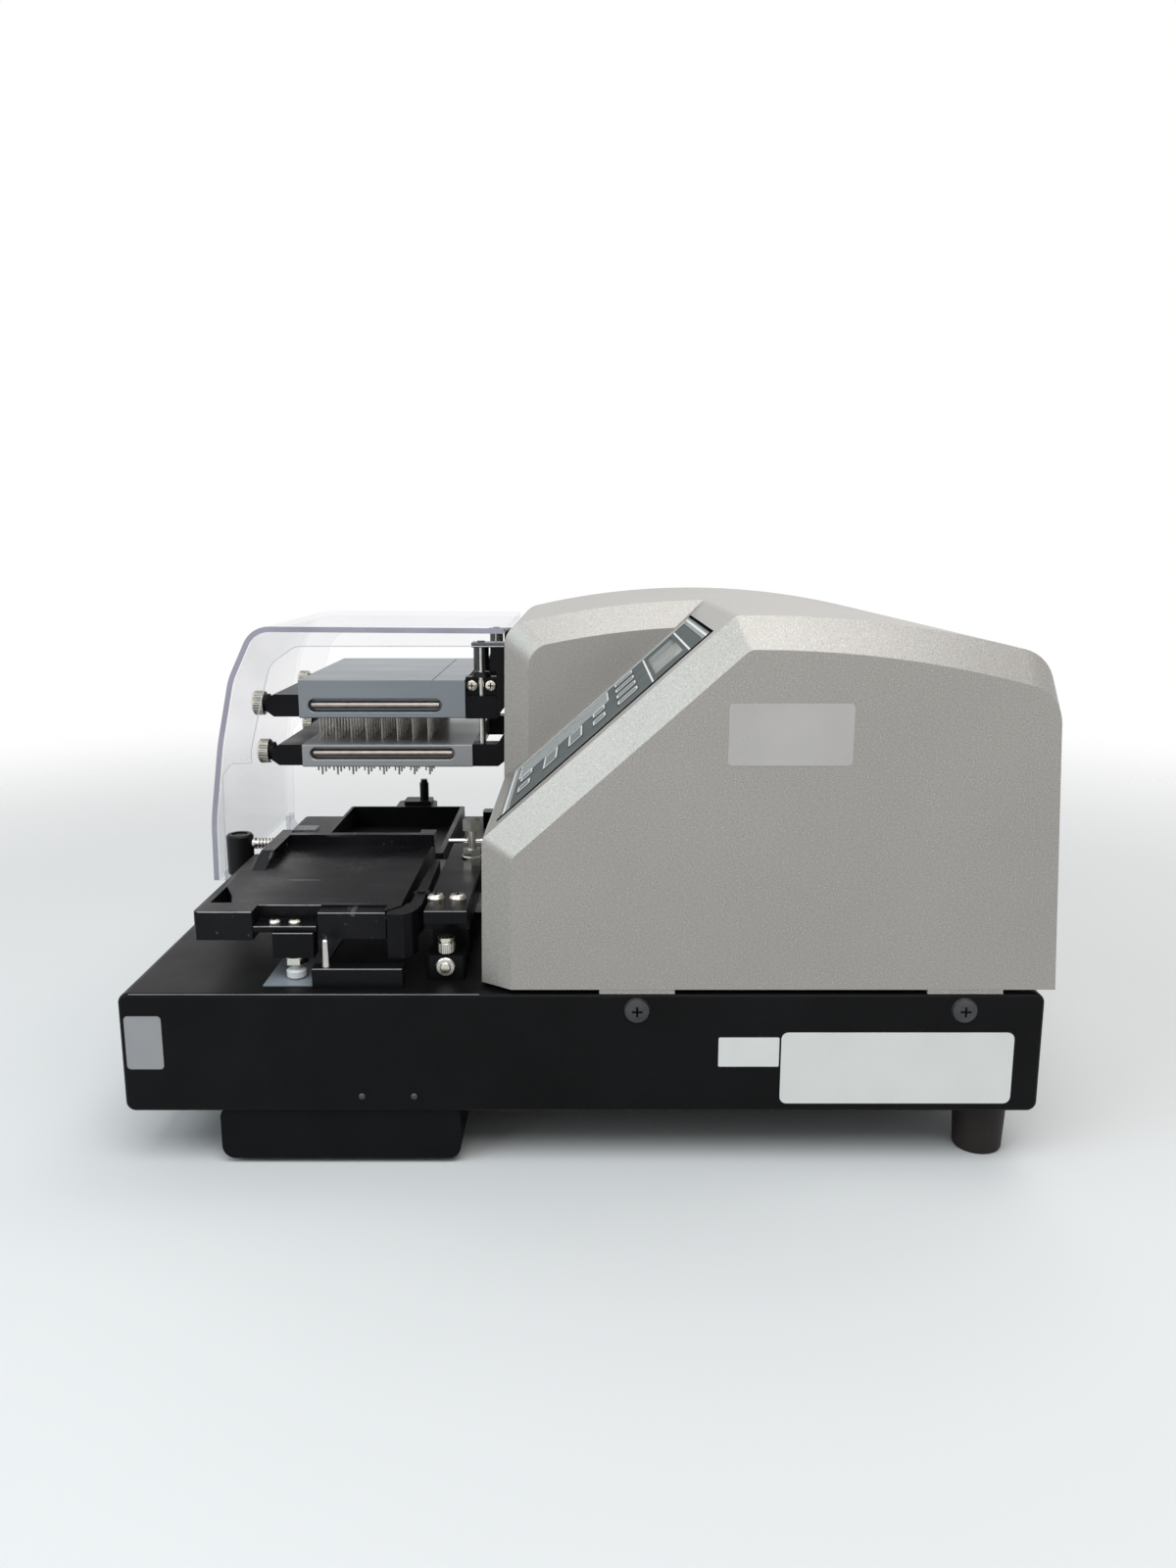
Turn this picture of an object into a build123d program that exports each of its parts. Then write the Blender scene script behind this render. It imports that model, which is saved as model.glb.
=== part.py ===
from build123d import *
from math import cos, pi, sin
import os

# Bench-top microplate washer with a sliding plate carrier and a two-stage wash head.
# Millimetres, +Z up. The origin is the middle of the footprint at the foot of the rubber
# bumpers. The front is at -Y and the keypad side is at +X.

# Base chassis: a folded sheet-metal box, its openings and the slots for the housing's tabs.
half_width = 178.0
half_depth = 209.5
chassis_z = 27.1
deck_z = 84.3
chassis_sheet = 1.5
pan_top = chassis_z + 1.7
chassis_corner = 4.5
rear_window = (-78.0, 92.0, 33.0, 79.0)
deck_opening = (-128.0, 96.0, 30.0, 180.0)
tab_y = (25.2, 173.1)
tab_half_length = 17.0
tab_screw_z = 76.7

# Pan under the front of the chassis, its bumpers, and the tall rear feet.
pan_half_width = 175.5
pan_front_y = -167.0
pan_back_y = -56.0
pan_foot_height = 2.5
rear_foot_x = 157.0
rear_foot_y = 190.0

# Housing: one moulded cover with a tall left part and a sloped right part.
housing_z = 86.5
housing_wall = 3.0
housing_front_y = -45.5
housing_rear_y = 213.3
front_lean = 3.2
rear_lean = 11.5
lean_top_z = 300.0
crown_radius = 480.0
crown_y = 75.0
crown_z = 253.0
bevel_x = 10.0
bevel_depth = 14.0
tall_side_x = 32.0
slope_foot = (-45.0, 153.3)
slope_head = (67.4, 253.4)
front_corner_radius = 13.0
rear_corner_radius = 18.0
arm_slots = ((-116.0, -98.0), (-1.0, 16.0))

# Keypad panel on the slope.
panel_x0 = 37.0
panel_x1 = 151.0
panel_low_y = -38.0
panel_high_y = 58.0
panel_recess = 2.4
lcd_window = (106.0, 123.0, 50.0, 128.0)
top_key_x = (54.0, 77.0, 100.0, 123.0)
small_key_x = (92.0, 118.0)
wide_key_x = 105.0

# Tube array: eight rows of twelve at the microplate pitch.
pitch = 9.0
rows_y = 8
rows_x = 12
array_x = -49.5
array_y = -121.2
aspirate_radius = 0.65
dispense_radius = 0.55
dispense_offset_y = -2.2

# Manifolds.
manifold_x0 = -115.0
manifold_x1 = 16.0
upper_y0 = -160.8
upper_y1 = -66.5
upper_z0 = 186.2
upper_z1 = 207.9
upper_slot = (-155.5, -79.9, 189.6, 197.0)
lower_y0 = -160.2
lower_y1 = -63.0
lower_z0 = 158.0
lower_z1 = 170.8
lower_slot = (-155.6, -73.2, 162.2, 169.0)
tip_z = 150.6
dispense_tip_z = 153.0
head_stroke = 24.5
aspirate_stroke = 7.3

# Priming trough on the deck under the manifolds.
trough_z = 103.3
trough_x0 = -125.5
trough_x1 = 2.4
trough_y0 = -162.0
trough_y1 = -83.0
trough_pin = (-136.0, -112.6)
trough_pin_top = 120.6
trough_floor = 89.5

# Stop block at the deck's edge and the pad under the carrier's foot.
stop_x0 = 163.5
stop_x1 = 171.0
stop_y0 = -122.6
stop_y1 = -81.4
stop_top = 93.9
stop_pin = (168.3, -116.4)
adjuster_x = 156.6
wear_strip_y = (-145.9, -122.9)

# Plate carrier.
carrier_top = 117.2
carrier_bottom = 103.7
carrier_x0 = 24.0
carrier_x1 = 160.0
carrier_front_y = -178.8
nest_back_y = -84.5
nest_x0 = 36.2
nest_side_y = -164.3
wall_top = 123.0
carrier_stroke = 149.6

# Guide rail and drive belt along X.
rail_y = -62.8
rail_z = 91.2
rail_radius = 4.0
belt_y = -30.0
belt_z0 = 90.0
belt_z1 = 96.0
belt_pitch_radius = 8.5
pulley_flange_radius = 10.2
pulley_shaft_radius = 2.5
belt_x0 = -128.0
belt_x1 = 140.0

# Spring plunger at the nest's side wall, and the clamp lever's pivot.
plunger_x = 44.0
plunger_z = 120.2
plunger_knob_y = -190.2
collar_y = -181.5
lever_pivot = (120.0, -79.0)
bolt_place = (79.5, -57.8)

# Screws and levelling foot of the carrier.
carriage_screws = ((142.1, -69.0), (142.1, -58.6))
bracket_screws = ((155.2, -142.6), (155.2, -133.2))
bracket_top = 110.3
foot_place = (157.6, -132.8)

# Lift mechanism inside the housing.
lift_rod_x = (-92.0, -7.0)
lift_rod_y = -16.0
lift_screw_x = array_x
lift_rod_radius = 4.0
frame_near_x = (2.0, 14.0)
frame_far_x = (-113.0, -101.0)
guide_y = -57.6
guide_radius = 1.6
guide_inset = 3.2
frame_top_z = 228.4
connector_z = (185.6, 198.5, 209.0)
connector_rear_y = -49.0
drum_z = (212.6, 226.0)
drum_radius = 4.4
push_rod_radius = 1.2
tower_x = (-112.0, 13.0)
tower_y = (-27.0, 12.0)
tower_back_y = 4.0
tower_top = 214.0
lift_motor_height = 16.0
motor_side = 42.3
motor_height = 40.0

# Recessed rear panel with its inlet, switch and ports.
panel_y = 198.0
inlet_cut = (36.0, 83.6, panel_y - 3, panel_y + 1, 44.0, 66.0)
inlet_x0 = 55.6
inlet_x1 = 82.8
switch_x0 = 38.6
switch_x1 = 51.6
switch_pivot_z = 55.5
switch_pivot_y = 195.4
fluid_port_x = (-70.0, -57.0, -44.0)

# Mist shield.
shield_x0 = -141.0
shield_x1 = 22.0
shield_wall = 3.0
shield_corners = (((-184.0, 238.3), 16.0), ((-198.2, 209.0), 40.0), ((-206.3, 172.0), 120.0),
                  ((-212.6, 128.0), 120.0))
shield_back_y = -43.4
shield_foot_z = 92.2
shield_top_z = 237.3

# Clearances.
running = 0.05
screw_clearance = 0.1


def block(x0, x1, y0, y1, z0, z1):
    """A rectangular block between two opposite corners."""
    centre = Pos((x0 + x1) / 2, (y0 + y1) / 2, (z0 + z1) / 2)
    return centre * Box(x1 - x0, y1 - y0, z1 - z0)


def post(x, y, z0, z1, radius):
    """A round post along Z."""
    return Pos(x, y, (z0 + z1) / 2) * Cylinder(radius, z1 - z0)


def rod_x(y, z, x0, x1, radius):
    """A round rod along X."""
    return Pos((x0 + x1) / 2, y, z) * Rot(0, 90, 0) * Cylinder(radius, x1 - x0)


def rod_y(x, z, y0, y1, radius):
    """A round rod along Y."""
    return Pos(x, (y0 + y1) / 2, z) * Rot(90, 0, 0) * Cylinder(radius, y1 - y0)


def side_plane(x):
    """The plane whose own axes are Y and Z, facing +X."""
    return Plane(origin=(x, 0, 0), x_dir=(0, 1, 0), z_dir=(1, 0, 0))


def outline(points):
    """A flat face inside a closed run of straight lines."""
    return make_face(Polyline(*points, close=True))


def side_extrude(face, x0, x1):
    """A (Y, Z) face drawn out along X."""
    return extrude(side_plane(x0) * face, amount=x1 - x0)


def front_extrude(face, y0, y1):
    """An (X, Z) face drawn out along Y, from its rear end to its front end."""
    plane = Plane(origin=(0, y1, 0), x_dir=(1, 0, 0), z_dir=(0, -1, 0))
    return extrude(plane * face, amount=y1 - y0)


def top_extrude(face, z0, z1):
    """An (X, Y) face drawn out along Z."""
    return extrude(Pos(0, 0, z0) * face, amount=z1 - z0)


def hex_prism(x, y, z0, z1, radius, sides=6):
    """A prism along Z with a few flat sides."""
    return extrude(Pos(x, y, z0) * RegularPolygon(radius, sides), amount=z1 - z0)


def rounded_box(x0, x1, y0, y1, z0, z1, radius, axis):
    """A block whose edges along one axis are rounded."""
    body = block(x0, x1, y0, y1, z0, z1)
    return fillet(body.edges().filter_by(axis), radius)


def save(name, shape):
    """Write one node's solids to its own file."""
    if isinstance(shape, (list, tuple)):
        shape = Compound(children=list(shape))
    shape.label = name
    export_step(shape, f"parts/{name}.step")


# Base

def base_chassis():
    """The sheet-metal box with its deck, rear window, tab slots and motor openings."""
    outer = rounded_box(-half_width, half_width, -half_depth, half_depth,
                        chassis_z, deck_z, chassis_corner, Axis.X)
    outer = fillet(outer.edges().filter_by(Axis.Z), 2.0)
    inner = block(-half_width + chassis_sheet, half_width - chassis_sheet,
                  -half_depth + chassis_sheet, half_depth - chassis_sheet,
                  chassis_z - 1, deck_z - chassis_sheet)
    inner = fillet(inner.edges().filter_by(Axis.X).sort_by(Axis.Z)[-2:], 3.0)
    shell = outer - inner
    x0, x1, z0, z1 = rear_window
    shell -= block(x0, x1, half_depth - 6, half_depth + 1, z0, z1)
    x0, x1, y0, y1 = deck_opening
    shell -= block(x0, x1, y0, y1, deck_z - 3, deck_z + 1)
    shell -= post(belt_x1, belt_y, deck_z - 3, deck_z + 1, 11.2)
    shell += post(belt_x0, belt_y, deck_z - 9, deck_z, 8.0)
    shell -= post(belt_x0, belt_y, deck_z - 10, deck_z + 1, 2.5 + running)
    for side in (-1, 1):
        for y in tab_y:
            shell -= Pos(side * 174.7, y, deck_z) * Box(3.8, 2 * tab_half_length + 0.6, 12)
            shell -= rod_x(y, tab_screw_z, side * 175 - 6, side * 175 + 6, 2.1 + screw_clearance)
    return shell


def bottom_pan():
    """The bottom plate with the pressed pan that hangs under the front."""
    gap = chassis_sheet + 0.3
    plate = block(-half_width + gap, half_width - gap, -half_depth + gap + 3,
                  half_depth - gap - 3, chassis_z + 0.2, pan_top)
    pan = rounded_box(-pan_half_width, pan_half_width, pan_front_y, pan_back_y,
                      pan_foot_height, pan_top, 6.0, Axis.X)
    pan -= block(-pan_half_width - 1, pan_half_width + 1, pan_front_y - 1, pan_back_y + 1,
                 chassis_z + 0.2, chassis_z + 3)
    hollow = block(-pan_half_width + 1.5, pan_half_width - 1.5, pan_front_y + 1.5,
                   pan_back_y - 1.5, pan_foot_height + 1.5, chassis_z + 3)
    hollow = fillet(hollow.edges().filter_by(Axis.X).sort_by(Axis.Z)[:2], 4.5)
    plate += pan
    return plate - hollow


def feet():
    """Four thin bumpers under the pan and two tall tapered rubber feet at the rear."""
    bumpers = [post(x, y, 0, pan_foot_height, 8.0)
               for x in (-150, 150) for y in (pan_front_y + 18, pan_back_y - 18)]
    profile = outline([(0, 0.8), (6, 0.8), (6, 0), (10.5, 0), (11.3, 1.2),
                       (12.6, chassis_z + 0.2), (0, chassis_z + 0.2)])
    tall = revolve(Plane.XZ * profile, Axis.Z)
    return bumpers + [Pos(side * rear_foot_x, rear_foot_y, 0) * tall for side in (-1, 1)]


# Housing

def slope_direction():
    """The unit vector up the slope, in the (Y, Z) plane."""
    return (Vector(*slope_head) - Vector(*slope_foot)).normalized()


def slope_normal():
    """The unit vector from the slope into the housing, in the (Y, Z) plane."""
    along = slope_direction()
    return Vector(along.Y, -along.X)


def shell_outline(wall, cut_in, foot_z):
    """The front wall, rear wall and crown, drawn in by a wall and by a bevel's depth."""
    front = housing_front_y + wall + cut_in
    rear = housing_rear_y - wall
    walls = outline([(front, foot_z), (front + front_lean, lean_top_z),
                     (rear - rear_lean, lean_top_z), (rear, foot_z)])
    return walls & Pos(crown_y, crown_z - crown_radius) * Circle(crown_radius - wall - cut_in)


def upper_corners(face, above):
    """The outline's corners above a height, from front to rear."""
    return face.vertices().filter_by(lambda v: v.Y > above).sort_by(Axis.X)


def tall_outline(wall, cut_in, foot_z):
    """The left part's outline, with its rounded front and rear corners."""
    face = shell_outline(wall, cut_in, foot_z)
    face = fillet(upper_corners(face, foot_z + 60)[-1], rear_corner_radius - wall)
    return fillet(upper_corners(face, foot_z + 60)[0], front_corner_radius - wall)


def sloped_outline(wall, cut_in, foot_z):
    """The right part's outline, cut by the keypad's slope."""
    along = slope_direction()
    inward = slope_normal()
    start = Vector(*slope_foot) + inward * (wall + cut_in) - along * 200
    end = start + along * 700
    corners = [start, end, end + inward * 500, start + inward * 500]
    half = outline([(corner.X, corner.Y) for corner in corners])
    face = shell_outline(wall, cut_in, foot_z) & half
    face = fillet(upper_corners(face, foot_z + 20)[-1], rear_corner_radius - wall)
    return fillet(upper_corners(face, foot_z + 20)[:2], 5.0)


def bevelled(make_outline, wall, x0, x1, foot_z, bevel):
    """Extrude an outline along X; a negative or positive bevel narrows that end."""
    full = make_outline(wall, 0, foot_z)
    if bevel == 0:
        return side_extrude(full, x0, x1)
    narrow = make_outline(wall, bevel_depth - wall / 2, foot_z)
    if bevel > 0:
        body = side_extrude(full, x0, x1 - bevel_x)
        start, end = x1 - bevel_x, x1
        faces = [side_plane(start) * full, side_plane(end) * narrow]
    else:
        body = side_extrude(full, x0 + bevel_x, x1)
        start, end = x0, x0 + bevel_x
        faces = [side_plane(start) * narrow, side_plane(end) * full]
    return body + loft(faces, ruled=True)


def housing_form(wall, foot_z):
    """The housing's solid form, drawn in by a wall's thickness."""
    left = bevelled(tall_outline, wall, -half_width + wall, 0, foot_z, -1)
    middle = bevelled(tall_outline, wall, -1, tall_side_x - wall, foot_z, 1)
    right = bevelled(sloped_outline, wall, 0, half_width - wall, foot_z, 1)
    return left + middle + right


def panel_plane():
    """The plane of the slope, with its own x along X and its own y up the slope."""
    inward = slope_normal()
    return Plane(origin=(0, slope_foot[0], slope_foot[1]), x_dir=(1, 0, 0),
                 z_dir=(0, -inward.X, -inward.Y))


def panel_span():
    """The panel's ends, measured up the slope from its foot."""
    along = slope_direction()
    return ((panel_low_y - slope_foot[0]) / along.X, (panel_high_y - slope_foot[0]) / along.X)


def panel_block(margin, low, high):
    """A block parallel to the slope, from low to high above its surface."""
    start, end = panel_span()
    x_mid = (panel_x0 + panel_x1) / 2
    face = Pos(x_mid, (start + end) / 2) * RectangleRounded(
        panel_x1 - panel_x0 - 2 * margin, end - start - 2 * margin, 3.0)
    return extrude(panel_plane() * Pos(0, 0, low) * face, amount=high - low)


def panel_window(margin, low, high):
    """A block through the display window."""
    up0, up1, x0, x1 = lcd_window
    face = Pos((x0 + x1) / 2, (up0 + up1) / 2) * Rectangle(
        x1 - x0 + 2 * margin, up1 - up0 + 2 * margin)
    return extrude(panel_plane() * Pos(0, 0, low) * face, amount=high - low)


def housing():
    """The silver cover: hollow, with its recess, slots, rear louvres and fixing tabs."""
    shell = housing_form(0, housing_z) - housing_form(housing_wall, housing_z - 8)
    shell += panel_block(-3.0, -panel_recess - 2.6, -0.2)
    shell -= panel_block(0, -panel_recess, 5)
    shell -= panel_window(2.0, -8, 5)
    for x0, x1 in arm_slots:
        shell -= block(x0, x1, housing_front_y - 2, housing_front_y + 8, 128, 236)
    shell -= block(-80, 112, housing_front_y - 2, housing_front_y + 8, housing_z - 1, 107)
    for index in range(11):
        x = -60 + 15 * index
        shell -= block(x, x + 3, housing_rear_y - 16, housing_rear_y + 2, 104, 150)
    for side in (-1, 1):
        for y in tab_y:
            foot = block(172.9, 177.6, y - tab_half_length, y + tab_half_length,
                         deck_z, housing_z + 9)
            tab = block(172.9, 176.3, y - tab_half_length, y + tab_half_length,
                        deck_z - 16, housing_z)
            lug = foot + tab
            if side < 0:
                lug = mirror(lug, Plane.YZ)
            shell += lug
            shell -= rod_x(y, tab_screw_z, side * 175 - 6, side * 175 + 6, 2.1 + screw_clearance)
    return shell


def housing_screws():
    """Four truss-head screws through the chassis sides into the tabs."""
    head = outline([(0, 0), (6, 0), (5.4, 1.3), (2.6, 2.4), (0, 2.4)])
    screw = revolve(Plane.XZ * head, Axis.Z) + post(0, 0, -7, 0.5, 2.1)
    out = []
    for side in (-1, 1):
        for y in tab_y:
            out.append(Pos(side * half_width, y, tab_screw_z) * Rot(0, side * 90, 0) * screw)
    return out


# Keypad

def keypad_frame():
    """The light frame that lines the recess, open over the display."""
    frame = panel_block(0.25, -panel_recess, -0.5)
    frame -= panel_block(5.0, -1.4, 2)
    return frame - panel_window(0.0, -8, 5)


def key_pad(x, up, width, height):
    """One embossed key on the membrane."""
    face = Pos(x, up) * Rectangle(width, height)
    return extrude(panel_plane() * Pos(0, 0, -0.75) * face, amount=0.55)


def keypad_membrane():
    """The dark membrane with its embossed keys."""
    sheet = panel_block(5.15, -1.4, -0.7)
    sheet -= panel_window(0.0, -8, 5)
    for x in top_key_x:
        sheet += key_pad(x, 89.5, 12, 13)
    for up in (22.5, 71.5):
        for x in small_key_x:
            sheet += key_pad(x, up, 14, 8.5)
    for up in (39.5, 56):
        sheet += key_pad(wide_key_x, up, 33, 9.5)
    return sheet


def lcd_module():
    """The display behind its window: a glass cell on a small board."""
    up0, up1, x0, x1 = lcd_window
    x_mid, up_mid = (x0 + x1) / 2, (up0 + up1) / 2
    cell = Pos(x_mid, up_mid) * Rectangle(x1 - x0 + 3.0, up1 - up0 + 3.0)
    board = Pos(x_mid, up_mid) * Rectangle(x1 - x0 + 16, up1 - up0 + 14)
    glass = extrude(panel_plane() * Pos(0, 0, -8) * cell, amount=8 - panel_recess)
    carrier = extrude(panel_plane() * Pos(0, 0, -9.6) * board, amount=1.6)
    return glass + carrier


# Deck furniture

def trough():
    """The priming trough on the deck, with its far lug and its locating pin."""
    body = rounded_box(trough_x0, trough_x1, trough_y0, trough_y1, deck_z, trough_z, 2.0, Axis.Z)
    cavity = block(trough_x0 + 1.8, trough_x1 - 1.6, trough_y0 + 1.8, trough_y1 - 3.0,
                   trough_floor, trough_z + 1)
    body -= fillet(cavity.edges().filter_by(Axis.Z), 1.2)
    x, y = trough_pin
    lug = outline([(trough_x0 + 1, y - 18.5), (x - 7, y - 18.5), (x - 11, y - 14.5),
                   (x - 11, y + 4.5), (x - 7, y + 8), (trough_x0 + 1, y + 8)])
    body += top_extrude(lug, trough_z - 3.4, trough_z)
    body += rounded_box(x - 8.5, x + 7.5, y - 13.5, y + 5.5, trough_z - 0.1, trough_z + 2.7,
                        2.0, Axis.Z)
    body += post(x, y, trough_z + 2.6, trough_pin_top - 2.4, 3.1)
    body += post(x, y, trough_pin_top - 2.5, trough_pin_top, 2.3)
    for row in range(rows_y):
        y = array_y + pitch * (row - (rows_y - 1) / 2)
        body += hex_prism(-50, y, trough_floor - 0.1, trough_floor + 2.2, 2.4)
    return body


def deck_block():
    """The low stop block at the edge of the deck."""
    body = block(stop_x0, stop_x1, stop_y0, stop_y1, deck_z, stop_top)
    body = chamfer(body.edges().filter_by(Axis.Y).sort_by(Axis.Z)[-2:], 0.5)
    return body - post(*stop_pin, stop_top - 3.9, stop_top + 1.1, 1.9 + screw_clearance)


def deck_pins():
    """The steel pin in the stop block and the knurled adjuster on the rail's end block."""
    profile = outline([(0, 90.2), (1.9, 90.2), (1.9, 94.5), (1.45, 106.2), (0.9, 107), (0, 107)])
    pin = Pos(*stop_pin, 0) * revolve(Plane.XZ * profile, Axis.Z)
    profile = outline([(0, 96.2), (3.0, 96.2), (3.9, 97.2), (3.9, 101.8), (3.2, 102.4),
                       (3.9, 103.0), (3.9, 104.4), (0, 104.4)])
    return [pin, Pos(adjuster_x, rail_y, 0) * revolve(Plane.XZ * profile, Axis.Z)]


def wear_strip():
    """The thin clear strip that the carrier's foot slides on."""
    return block(3.4, 168.2, *wear_strip_y, deck_z, deck_z + 0.5)


def shield_brackets():
    """Two clear angle brackets with a locating peg, under the shield's front corners."""
    out = []
    for x0, x1 in ((shield_x0 + 4, shield_x0 + 18), (shield_x1 - 18, shield_x1 - 4)):
        bracket = outline([(-208.2, deck_z), (-188, deck_z), (-188, deck_z + 2.5),
                           (-203, deck_z + 2.5), (-205.7, 92.0), (-205.7, 96.5),
                           (-208.2, 96.5)])
        out.append(side_extrude(bracket, x0, x1))
    return out


def guide_rail():
    """The steel rod that the carriage slides along."""
    body = rod_x(rail_y, rail_z, -151.0, 161.5, rail_radius)
    body += rod_x(rail_y, rail_z, 160.5, 162.3, 4.5)
    body = chamfer(body.edges().sort_by(Axis.X)[-1], 0.5)
    return body - rod_x(rail_y, rail_z, 160.0, 163, 1.6)


def rail_blocks():
    """The two blocks that hold the rail's ends on the deck."""
    out = []
    for x0, x1 in ((-150.0, -138.0), (148.5, 160.5)):
        body = rounded_box(x0, x1, rail_y - 9, rail_y + 9, deck_z, 96.2, 2.0, Axis.Z)
        out.append(body - rod_x(rail_y, rail_z, x0 - 1, x1 + 1, rail_radius))
    return out


# Carrier

def nest_plan():
    """The carrier plate's outline from above, with the notch and the lever's gap."""
    return outline([
        (carrier_x0, -171.2), (56, -171.2), (56, carrier_front_y), (carrier_x1, carrier_front_y),
        (carrier_x1, -151.7), (149.1, -151.7), (149.1, -121.9), (158.1, -121.9),
        (158.1, nest_back_y - 6), (150.0, nest_back_y), (carrier_x0, nest_back_y)])


def plate_nest():
    """The machined plate nest: flat seat, two raised walls, and the web to the carriage."""
    body = top_extrude(nest_plan(), carrier_bottom, carrier_top)
    body -= block(carrier_x0 + 8, 140, -163, nest_back_y - 6, carrier_bottom - 1,
                  carrier_top - 4.5)
    body += block(carrier_x0, nest_x0, -171.2, nest_back_y + 1, carrier_top - 1, wall_top)
    side_wall = outline([(carrier_x0, carrier_top - 1), (89.3, carrier_top - 1),
                         (89.3, carrier_top), (70.0, wall_top), (carrier_x0, wall_top)])
    body += front_extrude(side_wall, -171.2, nest_side_y)
    body -= block(carrier_x0 - 1, carrier_x0 + 7, -165, -92, 119.4, wall_top + 1)
    body += block(carrier_x0 + 6, 144.0, nest_back_y - 3, -53.4, carrier_bottom, 107.0)
    slot = outline([(145.3, -175.3), (145.3, -165.0), (133.0, -168.6), (118.5, -175.3)])
    body -= top_extrude(slot, carrier_bottom - 1, carrier_top + 1)
    body -= block(149.1, carrier_x1 + 1, -121.9, -91, 116.2, carrier_top + 1)
    body -= rod_y(plunger_x, plunger_z, -172, -163, 2.0 + running)
    body += post(*lever_pivot, 106.9, 115.5, 2.0)
    return fillet(body.edges().filter_by(Axis.Z).sort_by(Axis.Y)[:2], 2.0)


def bearing_blocks():
    """Two bearing blocks that carry the web along the rail."""
    out = []
    for x0 in (40.0, 112.0):
        body = rounded_box(x0, x0 + 28, rail_y - 8.6, rail_y + 8.6, 86.2, carrier_bottom,
                           1.5, Axis.X)
        out.append(body - rod_x(rail_y, rail_z, x0 - 1, x0 + 29, rail_radius + running))
    return out


def carriage_plate():
    """The plate clamped on the web beside the nest."""
    plan = outline([(20.5, -69.5), (26, -72.8), (158.0, -72.8), (158.0, -52.9), (20.5, -52.9)])
    body = top_extrude(plan, 111.0, carrier_top)
    body += block(30, 144, -72.8, -53.4, 107.0, 111.2)
    for x, y in carriage_screws:
        body -= post(x, y, 112, 118, 1.6 + screw_clearance)
    body -= post(*bolt_place, 108.5, 118, 2.5 + screw_clearance)
    return chamfer(body.edges().filter_by(Axis.X).sort_by(Axis.Z)[-2:], 0.5)


def pan_head(radius, height, shank, length):
    """A pan-head screw, its seat at the origin."""
    profile = outline([(0, 0), (radius, 0), (radius, height * 0.5), (radius * 0.8, height * 0.88),
                       (radius * 0.5, height), (0, height)])
    return revolve(Plane.XZ * profile, Axis.Z) + post(0, 0, -length, 0, shank)


def carrier_screws():
    """The two carriage screws and the two on the foot bracket."""
    large = pan_head(4.1, 3.4, 1.6, 4.5)
    small = pan_head(3.0, 2.0, 1.2, 2.0)
    out = [Pos(x, y, carrier_top) * large for x, y in carriage_screws]
    return out + [Pos(x, y, bracket_top) * small for x, y in bracket_screws]


def foot_bracket():
    """The plate in the nest's notch and the block that hangs under it."""
    body = block(149.3, carrier_x1, -151.4, -122.2, bracket_top - 2.7, bracket_top)
    body += block(152.6, 162.0, -142.2, -123.4, 95.6, 107.7)
    body -= post(*foot_place, 95, 101, 1.5 + screw_clearance)
    for x, y in bracket_screws:
        body -= post(x, y, bracket_top - 2.3, bracket_top + 0.7, 1.2 + screw_clearance)
    return body


def levelling_foot():
    """The nylon foot under the bracket, with its lock nut."""
    profile = outline([(0, 85.0), (3.6, 85.0), (4.4, 85.8), (4.6, 88.6), (3.6, 89.4), (2.1, 89.8),
                       (2.1, 92.3), (0, 92.3)])
    foot = revolve(Plane.XZ * profile, Axis.Z)
    nut = hex_prism(0, 0, 92.2, 95.6, 5.0)
    return Pos(*foot_place, 0) * (foot + nut + post(0, 0, 95, 100.8, 1.5))


def adjuster_bolt():
    """The upright bolt with two nuts and a cross pin through its shank."""
    x, y = bolt_place
    bolt = post(x, y, 108.6, 139.0, 2.5) + hex_prism(x, y, 136.6, 142.0, 5.0)
    nuts = hex_prism(x, y, carrier_top, 121.0, 5.0) + hex_prism(x, y, 122.6, 126.4, 5.0)
    washer = post(x, y, 121.0, 122.6, 5.6)
    pin = rod_y(x, 130.6, y - 12, y + 8.5, 1.2)
    return bolt + nuts + washer + pin


def belt_clamp():
    """The arm from the web to the belt's front run."""
    body = block(84, 104, -55.0, -35.0, 99.2, 103.7)
    body += block(84, 104, -36.2, -35.0, 88.8, 99.4)
    body += block(84, 104, -43.0, -41.0, 88.8, 99.4)
    front = belt_y - belt_pitch_radius
    for z in (91.0, 93.0, 95.0):
        body += block(86, 102, -41.2, front - 0.95, z - 0.4, z + 0.4)
    return body


def clamp_lever():
    """The plate clamp: a long arm in the gap and a hooked head at the nest's corner."""
    head = outline([(146.2, -74.6), (154.0, -75.9), (160.5, -77.9), (163.4, -81.2),
                    (164.0, -85.2), (163.2, -89.0), (158.9, -89.4), (152.0, -83.4), (146.2, -82.0)])
    body = top_extrude(head, carrier_bottom + 0.3, carrier_top)
    lower = outline([(152.8, -76.2), (160.5, -77.9), (163.4, -81.2), (164.0, -85.2),
                     (163.2, -89.0), (158.9, -89.4), (152.8, -84.1)])
    body += top_extrude(lower, 96.0, carrier_bottom + 1)
    arm = outline([(60.0, -80.8), (146.4, -82.0), (146.4, -76.0), (60.0, -77.2)])
    body += top_extrude(arm, 108.0, 114.8)
    body += post(*lever_pivot, 108.0, 114.8, 4.2)
    return body - post(*lever_pivot, 100, 118, 2.0 + running)


def plunger_shaft():
    """The plunger's steel shaft, with the collar that the spring pushes on."""
    body = rod_y(plunger_x, plunger_z, -187.8, nest_side_y - 0.3, 2.0)
    return body + rod_y(plunger_x, plunger_z, -182.8, collar_y, 3.1)


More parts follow.
